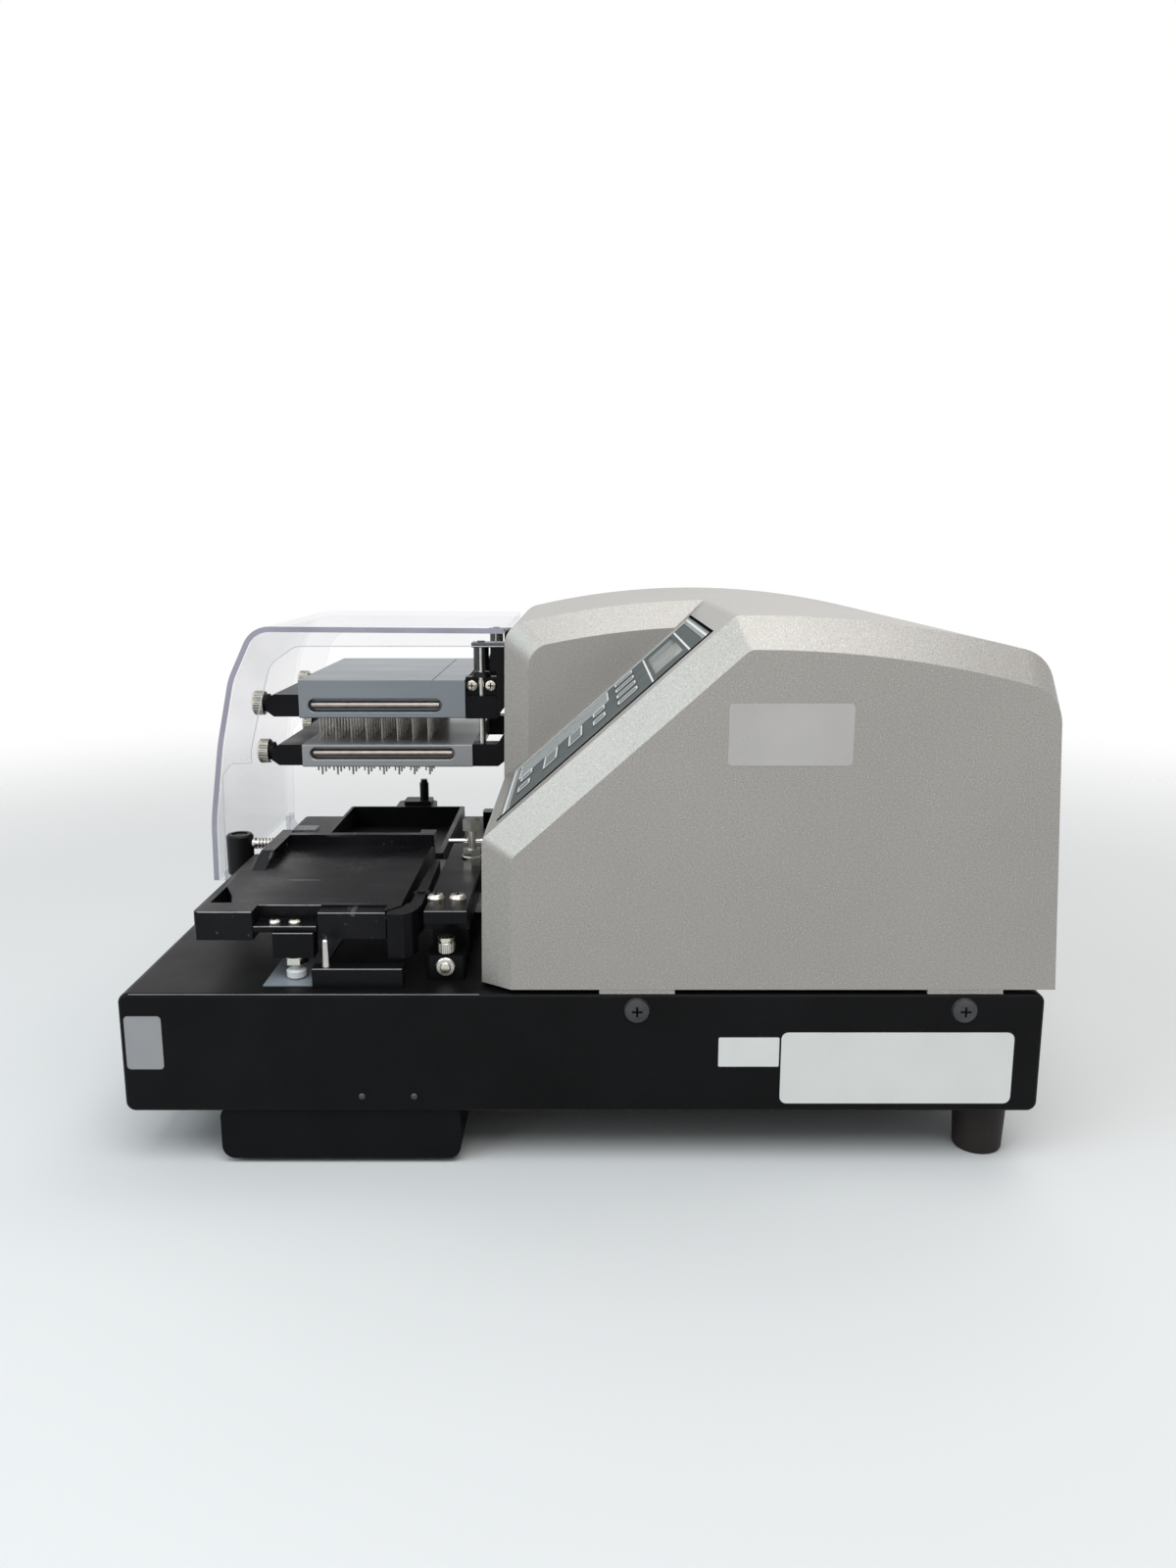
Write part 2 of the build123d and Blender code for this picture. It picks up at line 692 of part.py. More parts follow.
def plunger_knob():
    """The upright black handle on the shaft."""
    profile = outline([(0, 101.8), (3.0, 101.8), (3.0, 103.0), (6.6, 103.0), (7.3, 103.8),
                       (7.3, 124.6), (6.4, 125.6), (4.4, 125.6), (4.4, 124.9), (0, 124.9)])
    body = Pos(plunger_x, plunger_knob_y, 0) * revolve(Plane.XZ * profile, Axis.Z)
    return body - rod_y(plunger_x, plunger_z, -188.0, -180, 2.0)


def plunger_spring():
    """The coil spring between the nest's wall and the collar."""
    wire = 0.45
    wall_face = -171.2
    turns, steps, radius = 5, 10, 2.75
    length = wall_face - collar_y - 2.2 * wire
    places = []
    for index in range(turns * steps + 1):
        angle = 2 * pi * index / steps
        places.append((radius * cos(angle), radius * sin(angle), length * index / turns / steps))
    path = Polyline(*places)
    section = Plane(origin=path @ 0, z_dir=path % 0) * RegularPolygon(wire, 4)
    coil = sweep(section, path=path, transition=Transition.RIGHT)
    return Pos(plunger_x, wall_face - 1.1 * wire, plunger_z) * Rot(90, 0, 0) * coil


# Wash head

def array_points():
    """The tube centres of the eight by twelve array."""
    points = []
    for column in range(rows_x):
        for row in range(rows_y):
            x = array_x + pitch * (column - (rows_x - 1) / 2)
            y = array_y + pitch * (row - (rows_y - 1) / 2)
            points.append((x, y))
    return points


def manifold(y0, y1, z0, z1, slot):
    """A manifold block with the long round-ended slot in each side face."""
    body = block(manifold_x0, manifold_x1, y0, y1, z0, z1)
    slot_y0, slot_y1, slot_z0, slot_z1 = slot
    slot = Pos((slot_y0 + slot_y1) / 2, (slot_z0 + slot_z1) / 2) * SlotOverall(
        slot_y1 - slot_y0, slot_z1 - slot_z0)
    body -= side_extrude(slot, manifold_x1 - 5, manifold_x1 + 1)
    body -= side_extrude(slot, manifold_x0 - 1, manifold_x0 + 5)
    return chamfer(body.edges().filter_by(Axis.Y), 0.5)


def dispense_manifold():
    """The lower block, drilled for the aspirate tubes that pass through it."""
    body = manifold(lower_y0, lower_y1, lower_z0, lower_z1, lower_slot)
    holes = [hex_prism(x, y, lower_z0 - 1, lower_z1 + 1, 1.0, 4) for x, y in array_points()]
    return body - holes


def aspirate_manifold():
    """The upper block with its seam groove."""
    body = manifold(upper_y0, upper_y1, upper_z0, upper_z1, upper_slot)
    return body - block(manifold_x0 - 1, manifold_x1 + 1, -84.9, -84.4, upper_z1 - 0.5,
                        upper_z1 + 1)


def aspirate_tubes():
    """Ninety-six long tubes under the upper block."""
    return [hex_prism(x, y, tip_z, upper_z0, aspirate_radius) for x, y in array_points()]


def dispense_tubes():
    """Ninety-six short tubes under the lower block."""
    return [hex_prism(x, y + dispense_offset_y, dispense_tip_z, lower_z0, dispense_radius)
            for x, y in array_points()]


def end_cap(y_front, y_back, z0, z1):
    """The black bar across a manifold's front end."""
    profile = outline([(y_back, z0), (y_back, z1), (y_front + 4, z1), (y_front, z1 - 3),
                       (y_front, z0 + 3), (y_front + 4, z0)])
    return side_extrude(profile, manifold_x0 + 3, manifold_x1 - 3)


def slot_rods(slot):
    """A steel rod lying in the slot of each side face."""
    y0, y1, z0, z1 = slot
    return [rod_y(x, (z0 + z1) / 2, y0 + 1.6, y1 - 1.6, 2.0)
            for x in (manifold_x0 + 2.6, manifold_x1 - 2.6)]


def thumbscrew(x, y, z):
    """A thumbscrew on its collar that points to the front."""
    profile = outline([(0, 0), (5.2, 0), (5.2, 2.4), (6.4, 2.4), (6.9, 3.0), (6.9, 8.0),
                       (6.3, 8.8), (0, 8.8)])
    return Pos(x, y, z) * Rot(90, 0, 0) * revolve(Plane.XZ * profile, Axis.Z)


def thumbscrews(y, z):
    """The two thumbscrews on one end cap."""
    return [thumbscrew(x, y, z) for x in (manifold_x0 + 11, manifold_x1 - 11)]


def head_frames():
    """Two black frames that carry the lower block and guide the upper one."""
    profile = outline([
        (lower_y1, lower_z0), (lower_y1, lower_z1), (-48.6, lower_z1), (-42.6, 180.5),
        (-38.5, 180.5), (-38.5, 193.0), (-43.6, 193.0), (-48.7, 186.5), (-48.7, 212.6),
        (-52.0, 212.6), (-52.0, 226.0), (-62.5, 226.0), (-62.5, frame_top_z),
        (-43.8, frame_top_z), (-43.8, 206.0), (-30.0, 206.0), (-30.0, 186.0), (-22.0, 182.0),
        (-22.0, 168.0), (-36.0, 168.0), (-48.4, lower_z0)])
    frames = []
    for x0, x1 in (frame_near_x, frame_far_x):
        frame = side_extrude(profile, x0, x1)
        for x in (x0 + guide_inset, x1 - guide_inset):
            frame -= post(x, guide_y, lower_z1 - 8, frame_top_z - 1, guide_radius)
        frame -= post((x0 + x1) / 2, guide_y, 225, frame_top_z + 1, 2.2)
        frames.append(frame)
    return frames


def head_guides():
    """Four slim steel rods between the feet and the tops of the frames."""
    rods = []
    for x0, x1 in (frame_near_x, frame_far_x):
        for x in (x0 + guide_inset, x1 - guide_inset):
            rods.append(post(x, guide_y, lower_z1 - 8, frame_top_z - 1, guide_radius))
    return rods


def connector(x0, x1, outer):
    """A block that slides on two slim rods; the outer rod shows above its shoulder."""
    foot_z, shoulder_z, top_z = connector_z
    body = block(x0, x1, upper_y1, connector_rear_y, foot_z, shoulder_z)
    recess = guide_inset if outer > 0 else 0
    body += block(x0 + guide_inset - recess, x1 - recess, upper_y1, connector_rear_y,
                  shoulder_z - 0.1, top_z)
    middle = (x0 + x1) / 2
    body += Pos(middle, guide_y, top_z + 1.4) * Cone(5.6, drum_radius, 3.0)
    for x in (x0 + guide_inset, x1 - guide_inset):
        body -= post(x, guide_y, foot_z - 1, top_z + 4, guide_radius + running)
    return body + post(middle, guide_y, top_z + 2, top_z + 13, push_rod_radius)


def aspirate_connectors():
    """Two black blocks that join the upper manifold to the slim rods."""
    return [connector(*frame_near_x, 1), connector(*frame_far_x, -1)]


def aspirate_actuators():
    """The small actuators under the tops of the frames, round their push rods."""
    out = []
    for x0, x1 in (frame_near_x, frame_far_x):
        x = (x0 + x1) / 2
        body = post(x, guide_y, *drum_z, drum_radius)
        body += post(x, guide_y, drum_z[1], frame_top_z + 1, 2.2)
        for side in (-1, 1):
            body -= post(x + side * 2.8, guide_y, 200, frame_top_z - 0.8,
                         guide_radius + screw_clearance)
        out.append(body - post(x, guide_y, drum_z[0] - 0.6, drum_z[1] - 2, push_rod_radius + running))
    return out


def lift_carriage():
    """The plate behind the housing's front that carries both C-frames."""
    body = block(-113.0, 14.0, -22.0, -9.0, 164.0, 186.0)
    body = chamfer(body.edges().filter_by(Axis.X), 1.5)
    for x in lift_rod_x:
        body += post(x, lift_rod_y, 158, 192, 8.5)
        body -= post(x, lift_rod_y, 150, 200, lift_rod_radius + running)
    body += post(lift_screw_x, lift_rod_y, 160, 190, 9.0)
    return body - post(lift_screw_x, lift_rod_y, 150, 200, 4.0 + running)


def lift_tower():
    """The frame on the deck that holds the lift's rods and motor."""
    body = block(*tower_x, *tower_y, deck_z, deck_z + 5)
    body += block(*tower_x, tower_back_y, tower_y[1], deck_z + 4, tower_top - 1)
    body -= block(*lift_rod_x, tower_back_y - 2, tower_y[1] + 2, 110, tower_top - 20)
    body += block(*tower_x, *tower_y, tower_top - 5, tower_top)
    for x in lift_rod_x:
        body -= post(x, lift_rod_y, deck_z + 1, tower_top + 1, lift_rod_radius)
    body -= post(lift_screw_x, lift_rod_y, tower_top - 6, tower_top + 1, 11.2)
    return body - post(lift_screw_x, lift_rod_y, deck_z + 1, deck_z + 6, 3.0 + running)


def lift_rods():
    """Two steel guide rods, seated in the tower's base and top."""
    return [post(x, lift_rod_y, deck_z + 1, tower_top, lift_rod_radius) for x in lift_rod_x]


def lift_screw():
    """The lead screw, with the motor's shaft on its upper end."""
    body = post(lift_screw_x, lift_rod_y, deck_z + 1.4, deck_z + 6.0, 3.0)
    body += post(lift_screw_x, lift_rod_y, deck_z + 5.4, tower_top - 18, 4.0)
    body += post(lift_screw_x, lift_rod_y, tower_top - 21, tower_top - 6, 7.5)
    return body + post(lift_screw_x, lift_rod_y, tower_top - 7, tower_top + 12, 2.5)


def stepper(height):
    """A square stepper motor, its mounting face up at the origin."""
    half = motor_side / 2
    body = block(-half, half, -half, half, -height, 0)
    body = chamfer(body.edges().filter_by(Axis.Z), 4.5)
    body += post(0, 0, -0.1, 2.0, 11.0)
    return body - post(0, 0, -14, 3, 2.5 + running)


def lift_motor():
    """The lift's motor, which stands on the tower's top."""
    motor = Rot(180, 0, 0) * stepper(lift_motor_height)
    return Pos(lift_screw_x, lift_rod_y, tower_top) * motor


# Carrier drive

def carrier_motor():
    """The carrier's motor under the deck."""
    return Pos(belt_x1, belt_y, deck_z - chassis_sheet) * stepper(motor_height)


def pulley(x, bore_z):
    """A flanged belt pulley on its own shaft."""
    body = post(x, belt_y, belt_z0 - 0.4, belt_z1 + 0.4, belt_pitch_radius - 0.95)
    body += post(x, belt_y, belt_z0 - 1.6, belt_z0 - 0.4, pulley_flange_radius)
    body += post(x, belt_y, belt_z1 + 0.4, belt_z1 + 1.6, pulley_flange_radius)
    return body + post(x, belt_y, bore_z, belt_z1 + 5, pulley_shaft_radius)


def drive_pulley():
    """The driven pulley with the motor's shaft."""
    return pulley(belt_x1, deck_z - 14)


def idler_pulley():
    """The idler with its journal."""
    return pulley(belt_x0, deck_z - 8)


def drive_belt():
    """The closed belt round both pulleys."""
    def stadium(radius):
        length = belt_x1 - belt_x0 + 2 * radius
        return Pos((belt_x0 + belt_x1) / 2, belt_y) * SlotOverall(length, 2 * radius)
    band = stadium(belt_pitch_radius + 0.6) - stadium(belt_pitch_radius - 0.6)
    return top_extrude(band, belt_z0, belt_z1)


# Inside the chassis

def power_supply():
    """The open-frame power supply on the bottom plate."""
    tray = block(60, 160, 42, 176, pan_top, pan_top + 1.7)
    tray += block(60, 61.5, 42, 176, chassis_z + 3, chassis_z + 34)
    board = block(64, 158, 45, 173, chassis_z + 7, chassis_z + 8.6)
    for x, y in ((67, 48), (155, 48), (67, 170), (155, 170)):
        board += post(x, y, chassis_z + 3.2, chassis_z + 7.2, 2.5)
    board += block(80, 112, 90, 120, chassis_z + 8.4, chassis_z + 34)
    board += block(122, 128, 80, 170, chassis_z + 8.4, chassis_z + 32)
    for y in (140, 162):
        board += post(90, y, chassis_z + 8.4, chassis_z + 38, 9)
    return tray + board


def main_board():
    """The control board on its pillars, with its large components and headers."""
    z = chassis_z + 10
    board = block(-160, -20, 60, 180, z, z + 1.6)
    for x, y in ((-155, 65), (-25, 65), (-155, 175), (-25, 175)):
        board += post(x, y, pan_top, z + 0.1, 3)
    for x, y, width, depth, height in ((-110, 120, 28, 28, 3), (-60, 130, 20, 20, 3),
                                       (-130, 80, 24, 12, 9), (-90, 80, 24, 12, 9),
                                       (-50, 80, 24, 12, 9), (-100, 172, 60, 9, 10)):
        board += block(x - width / 2, x + width / 2, y - depth / 2, y + depth / 2,
                       z + 1.5, z + 1.6 + height)
    return board


def dispense_pump():
    """The dispense pump: a motor and a pump head on a foot."""
    foot = block(-40, 40, -40, 0, pan_top, pan_top + 3)
    foot += block(-6, 0, -40, 0, chassis_z + 4, chassis_z + 46)
    pump = rod_x(-20, chassis_z + 26, -38, -5, 19) + rod_x(-20, chassis_z + 26, -1, 34, 16)
    pump += rod_x(-20, chassis_z + 26, -50, -37, 14)
    for z in (chassis_z + 18, chassis_z + 34):
        pump += rod_y(-44, z, -44, -20, 3)
    return foot + pump


def valve_block():
    """The fluid valves: a drilled bar with three solenoids."""
    bar = block(-150, -70, -30, -6, pan_top, chassis_z + 18)
    for x in (-135, -110, -85):
        bar += block(x - 9, x + 9, -27, -9, chassis_z + 17, chassis_z + 44)
        bar += rod_y(x, chassis_z + 10, -37, -29, 2.6)
    return bar


# Rear panel

def connector_panel():
    """The recessed rear panel with its folded rim."""
    x0, x1, z0, z1 = rear_window
    body = block(x0 + 0.3, x1 - 0.3, panel_y - 1.5, half_depth - 1.6, z0 + 0.3, z1 - 0.3)
    body -= block(x0 + 1.5, x1 - 1.5, panel_y, half_depth, z0 + 1.5, z1 - 1.5)
    body += block(x0 - 6, x1 + 6, half_depth - 3.0, half_depth - 1.5, z0 - 4, z1 + 0.8)
    body -= block(x0 + 1.5, x1 - 1.5, panel_y, half_depth, z0 + 1.5, z1 - 1.5)
    body -= block(*inlet_cut)
    for x, width in ((-22.0, 19.0), (8.0, 12.5)):
        body -= block(x - width / 2, x + width / 2, panel_y - 3, panel_y + 1, 52, 61)
    for x in fluid_port_x:
        body -= rod_y(x, 56, panel_y - 3, panel_y + 1, 4.0)
    return body


def power_inlet():
    """The mains inlet and the rocker's frame, moulded as one module."""
    x0, x1 = inlet_cut[0] + 0.2, inlet_cut[1] - 0.2
    body = block(x0, x1, panel_y - 18, panel_y, 44.2, 65.8)
    flange = rounded_box(x0 - 3, x1 + 3, panel_y, panel_y + 2.4, 41.6, 68.4, 2.0, Axis.Y)
    body += flange
    body -= block(inlet_x0 + 2, inlet_x1 - 2, panel_y - 14, panel_y + 4, 47, 63)
    for x, z in ((inlet_x0 + 13.6, 58.5), (inlet_x0 + 6.6, 53.0), (inlet_x0 + 20.6, 53.0)):
        body += block(x - 1, x + 1, panel_y - 15, panel_y - 2, z - 2, z + 2)
    return body - block(switch_x0, switch_x1, panel_y - 14, panel_y + 4, 46.6, 64.4)


def power_switch():
    """The rocker, shown with its lower half pressed in."""
    x0, x1 = switch_x0 + 0.4, switch_x1 - 0.4
    profile = outline([(0, -8.2), (5.6, -8.0), (4.0, 0), (5.6, 8.0), (0, 8.2), (-3.5, 2.5),
                       (-3.5, -2.5)])
    body = side_extrude(profile, x0, x1)
    return Pos(0, switch_pivot_y, switch_pivot_z) * Rot(8, 0, 0) * body


def data_ports():
    """The serial socket and the square data socket."""
    serial = block(-31.2, -12.8, panel_y - 10, panel_y + 4, 52.3, 60.7)
    serial = chamfer(serial.edges().filter_by(Axis.Y), 1.5)
    serial -= block(-29.6, -14.4, panel_y - 4, panel_y + 5, 53.8, 59.2)
    square = block(2.0, 14.0, panel_y - 12, panel_y + 2, 52.2, 60.8)
    square -= block(4.0, 12.0, panel_y - 7, panel_y + 3, 53.8, 59.2)
    square += block(6.0, 10.0, panel_y - 8, panel_y + 1, 55.6, 57.4)
    return [serial, square]


def fluid_ports():
    """Three bulkhead fittings for the fluid lines."""
    out = []
    for x in fluid_port_x:
        body = rod_y(x, 56, panel_y - 12, panel_y + 3, 3.9)
        body += Pos(x, panel_y + 1.6, 56) * Rot(90, 0, 0) * extrude(
            RegularPolygon(5.6, 6), amount=1.6)
        body += rod_y(x, 56, panel_y + 2.9, panel_y + 10.5, 3.0)
        out.append(body - rod_y(x, 56, panel_y - 13, panel_y + 12, 1.6))
    return out


# Mist shield

def shield_region(inset):
    """The space under the shield's curved band, drawn in by a wall's thickness."""
    beyond = 20.0
    points = [(shield_back_y + beyond, shield_top_z)] + [place for place, _ in shield_corners]
    points += [(-213.3, shield_foot_z), (-213.3, shield_foot_z - beyond),
               (shield_back_y + beyond, shield_foot_z - beyond)]
    face = outline(points)
    for place, radius in shield_corners:
        corner = face.vertices().sort_by_distance((place[0], place[1], 0))[0]
        face = fillet(corner, radius)
    if inset:
        face = offset(face, -inset)
    limit = outline([(shield_back_y, 300), (-300, 300), (-300, shield_foot_z),
                     (shield_back_y, shield_foot_z)])
    return face & limit


def flange_opening():
    """The opening inside each side flange, with the step for the carrier's passage."""
    face = outline([(shield_back_y + 5, 227.6), (-160.0, 227.6), (-174.5, 217.5),
                    (-180.3, 198.0), (-188.0, 168.0), (-188.0, 161.3), (-199.5, 161.3),
                    (-205.0, 154.0), (-206.4, shield_foot_z - 5),
                    (shield_back_y + 5, shield_foot_z - 5)])
    for place, radius in (((-160.0, 227.6), 12.0), ((-174.5, 217.5), 12.0), ((-199.5, 161.3), 4.0),
                          ((-205.0, 154.0), 4.0)):
        corner = face.vertices().sort_by_distance((place[0], place[1], 0))[0]
        face = fillet(corner, radius)
    return face


def mist_shield():
    """The clear cover: a curved band with a flange at each side."""
    region = shield_region(0)
    band = side_extrude(region - shield_region(shield_wall), shield_x0, shield_x1)
    flange = region - flange_opening()
    near = side_extrude(flange, shield_x1 - shield_wall, shield_x1)
    return band + near + side_extrude(flange, shield_x0, shield_x0 + shield_wall)


nodes = {
    "base_chassis": base_chassis,
    "bottom_pan": bottom_pan,
    "feet": feet,
    "housing": housing,
    "housing_screws": housing_screws,
    "keypad_frame": keypad_frame,
    "keypad_membrane": keypad_membrane,
    "lcd_module": lcd_module,
    "trough": trough,
    "deck_block": deck_block,
    "deck_pins": deck_pins,
    "wear_strip": wear_strip,
    "shield_brackets": shield_brackets,
    "guide_rail": guide_rail,
    "rail_blocks": rail_blocks,
    "plate_nest": plate_nest,
    "bearing_blocks": bearing_blocks,
    "carriage_plate": carriage_plate,
    "carrier_screws": carrier_screws,
    "foot_bracket": foot_bracket,
    "levelling_foot": levelling_foot,
    "adjuster_bolt": adjuster_bolt,
    "belt_clamp": belt_clamp,
    "clamp_lever": clamp_lever,
    "plunger_shaft": plunger_shaft,
    "plunger_knob": plunger_knob,
    "plunger_spring": plunger_spring,
    "dispense_manifold": dispense_manifold,
    "dispense_tubes": dispense_tubes,
    "dispense_cap": lambda: end_cap(-178.4, lower_y0, 158.4, 170.4),
    "dispense_slot_rods": lambda: slot_rods(lower_slot),
    "dispense_thumbscrews": lambda: thumbscrews(-178.4, 165.6),
    "aspirate_manifold": aspirate_manifold,
    "aspirate_tubes": aspirate_tubes,
    "aspirate_cap": lambda: end_cap(-180.0, upper_y0, 186.6, 199.3),
    "aspirate_slot_rods": lambda: slot_rods(upper_slot),
    "aspirate_thumbscrews": lambda: thumbscrews(-180.0, 193.6),
    "head_frames": head_frames,
    "head_guides": head_guides,
    "aspirate_connectors": aspirate_connectors,
    "aspirate_actuators": aspirate_actuators,
    "lift_carriage": lift_carriage,
    "lift_tower": lift_tower,
    "lift_rods": lift_rods,
    "lift_screw": lift_screw,
    "lift_motor": lift_motor,
    "carrier_motor": carrier_motor,
    "drive_pulley": drive_pulley,
    "idler_pulley": idler_pulley,
    "drive_belt": drive_belt,
    "power_supply": power_supply,
    "main_board": main_board,
    "dispense_pump": dispense_pump,
    "valve_block": valve_block,
    "connector_panel": connector_panel,
    "power_inlet": power_inlet,
    "power_switch": power_switch,
    "data_ports": data_ports,
    "fluid_ports": fluid_ports,
    "mist_shield": mist_shield,
}


if __name__ == "__main__":
    os.makedirs("parts", exist_ok=True)
    for node_name, make in nodes.items():
        save(node_name, make())
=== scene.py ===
import logging
import math
from dataclasses import dataclass, field
from enum import Enum

import bmesh
import bpy
from mathutils import Matrix, Vector

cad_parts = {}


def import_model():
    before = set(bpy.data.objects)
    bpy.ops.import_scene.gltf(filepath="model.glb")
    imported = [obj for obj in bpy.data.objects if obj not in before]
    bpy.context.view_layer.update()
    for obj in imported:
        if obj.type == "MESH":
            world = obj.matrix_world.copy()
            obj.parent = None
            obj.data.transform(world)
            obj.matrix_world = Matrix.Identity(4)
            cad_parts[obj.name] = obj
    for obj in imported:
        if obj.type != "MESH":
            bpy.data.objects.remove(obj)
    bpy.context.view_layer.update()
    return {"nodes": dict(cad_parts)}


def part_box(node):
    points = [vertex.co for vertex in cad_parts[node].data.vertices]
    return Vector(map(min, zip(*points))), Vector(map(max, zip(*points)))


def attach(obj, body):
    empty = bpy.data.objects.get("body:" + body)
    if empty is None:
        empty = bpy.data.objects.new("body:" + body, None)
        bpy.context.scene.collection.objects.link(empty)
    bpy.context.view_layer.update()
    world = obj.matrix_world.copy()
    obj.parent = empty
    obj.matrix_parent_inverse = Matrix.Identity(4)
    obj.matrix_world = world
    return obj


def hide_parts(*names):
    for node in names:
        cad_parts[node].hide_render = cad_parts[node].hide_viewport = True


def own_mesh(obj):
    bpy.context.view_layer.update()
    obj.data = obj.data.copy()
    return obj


Flat = tuple[float, float]
Point = tuple[float, float, float]
Ring = tuple[float, float, float]
Limits = tuple[float, float, float, float]
Socket = bpy.types.NodeSocket

# Metres in a millimetre.
MM = 0.001
# Lathed points that are closer than this many millimetres become one.
WELD = 0.0005
# Faces that meet at a smaller angle are shaded as one curve.
SMOOTH_ANGLE = math.radians(32.0)
# Half a corner's angle from which two lines count as straight.
STRAIGHT = math.radians(89.5)
# The part of a noise pattern's range that is used.
PATTERN_LOW = 0.3
PATTERN_HIGH = 0.7
# The depth of a surface's grain in metres.
GRAIN_DEPTH = 0.0002
# A pattern that isn't stretched.
EVEN: Point = (1.0, 1.0, 1.0)
BLACK: Point = (0.0, 0.0, 0.0)
WHITE: Point = (1.0, 1.0, 1.0)

log = logging.getLogger("plate_washer")


class Axis(Enum):
    """The row frame's axes."""

    X = Vector((1.0, 0.0, 0.0))
    Y = Vector((0.0, 1.0, 0.0))
    Z = Vector((0.0, 0.0, 1.0))


class Body(Enum):
    """The bodies that new pieces ride on."""

    BASE = "base"
    CARRIER = "carrier"
    DISPENSE_HEAD = "dispense_head"
    ASPIRATE_HEAD = "aspirate_head"
    SHIELD = "mist_shield"


class NodeSketch:
    """A small helper that wires one material's nodes."""

    def __init__(self, name: str) -> None:
        """Start an empty node material.

        Args:
            name: The material's name.
        """
        self.material = bpy.data.materials.new(name)
        self.material.use_nodes = True
        self.tree = self.material.node_tree
        self.tree.nodes.clear()
        self.output = self.tree.nodes.new("ShaderNodeOutputMaterial")
        self.place = self.tree.nodes.new("ShaderNodeTexCoord").outputs["Object"]

    def link(self, source: Socket, target: Socket) -> None:
        """Join two sockets."""
        self.tree.links.new(source, target)

    def noise(self, scale: float, detail: float, stretch: Point = EVEN) -> Socket:
        """Add a noise pattern in object space.

        Args:
            scale: The pattern's scale, per metre.
            detail: How many finer layers are added.
            stretch: How much the pattern is squeezed along each axis.

        Returns:
            The pattern's value, about 0 to 1.
        """
        mapping = self.tree.nodes.new("ShaderNodeMapping")
        mapping.inputs["Scale"].default_value = stretch
        self.link(self.place, mapping.inputs["Vector"])
        texture = self.tree.nodes.new("ShaderNodeTexNoise")
        texture.inputs["Scale"].default_value = scale
        texture.inputs["Detail"].default_value = detail
        self.link(mapping.outputs["Vector"], texture.inputs["Vector"])
        return texture.outputs["Fac"]

    def ramp(self, value: Socket, low: tuple[float, Point], high: tuple[float, Point]) -> Socket:
        """Turn a value into a colour.

        Args:
            value: The socket that is read.
            low: The value up to which the first colour holds, and that colour.
            high: The value from which the last colour holds, and that colour.

        Returns:
            The colour socket.
        """
        node = self.tree.nodes.new("ShaderNodeValToRGB")
        for element, (position, colour) in zip(node.color_ramp.elements, (low, high)):
            element.position = position
            element.color = (*colour, 1.0)
        self.link(value, node.inputs["Fac"])
        return node.outputs["Color"]

    def spread(self, value: Socket, low: float, high: float) -> Socket:
        """Map a noise pattern onto a range.

        Args:
            value: The pattern's socket.
            low: What the pattern's low values become.
            high: What its high values become.

        Returns:
            The mapped value's socket.
        """
        node = self.tree.nodes.new("ShaderNodeMapRange")
        for name, limit in (("From Min", PATTERN_LOW), ("From Max", PATTERN_HIGH),
                            ("To Min", low), ("To Max", high)):
            node.inputs[name].default_value = limit
        self.link(value, node.inputs["Value"])
        return node.outputs["Result"]

    def mix(self, factor: Socket, first: Socket, second: Point) -> Socket:
        """Mix a colour socket with a fixed colour.

        Args:
            factor: How much of the fixed colour shows.
            first: The colour socket.
            second: The fixed colour.

        Returns:
            The mixed colour's socket.
        """
        node = self.tree.nodes.new("ShaderNodeMix")
        node.data_type = "RGBA"
        self.link(factor, node.inputs["Factor"])
        self.link(first, node.inputs["A"])
        node.inputs["B"].default_value = (*second, 1.0)
        return node.outputs["Result"]

    def bump(self, height: Socket, strength: float) -> Socket:
        """Turn a height pattern into a surface normal.

        Args:
            height: The pattern's socket.
            strength: How much of the grain's depth shows.

        Returns:
            The normal's socket.
        """
        node = self.tree.nodes.new("ShaderNodeBump")
        node.inputs["Strength"].default_value = strength
        node.inputs["Distance"].default_value = GRAIN_DEPTH
        self.link(height, node.inputs["Height"])
        return node.outputs["Normal"]

    def shader(self, kind: str = "ShaderNodeBsdfPrincipled") -> bpy.types.ShaderNode:
        """Add a shader and join it to the output.

        Args:
            kind: The shader's node type.

        Returns:
            The shader's node.
        """
        node = self.tree.nodes.new(kind)
        self.link(node.outputs[0], self.output.inputs["Surface"])
        return node

    def blend(self, factor: Socket, first: bpy.types.ShaderNode,
              second: bpy.types.ShaderNode) -> None:
        """Mix two shaders and join the result to the output.

        Args:
            factor: How much of the second shader shows.
            first: The first shader's node.
            second: The second shader's node.
        """
        mixed = self.shader("ShaderNodeMixShader")
        for index, source in enumerate((factor, first.outputs[0], second.outputs[0])):
            self.link(source, mixed.inputs[index])


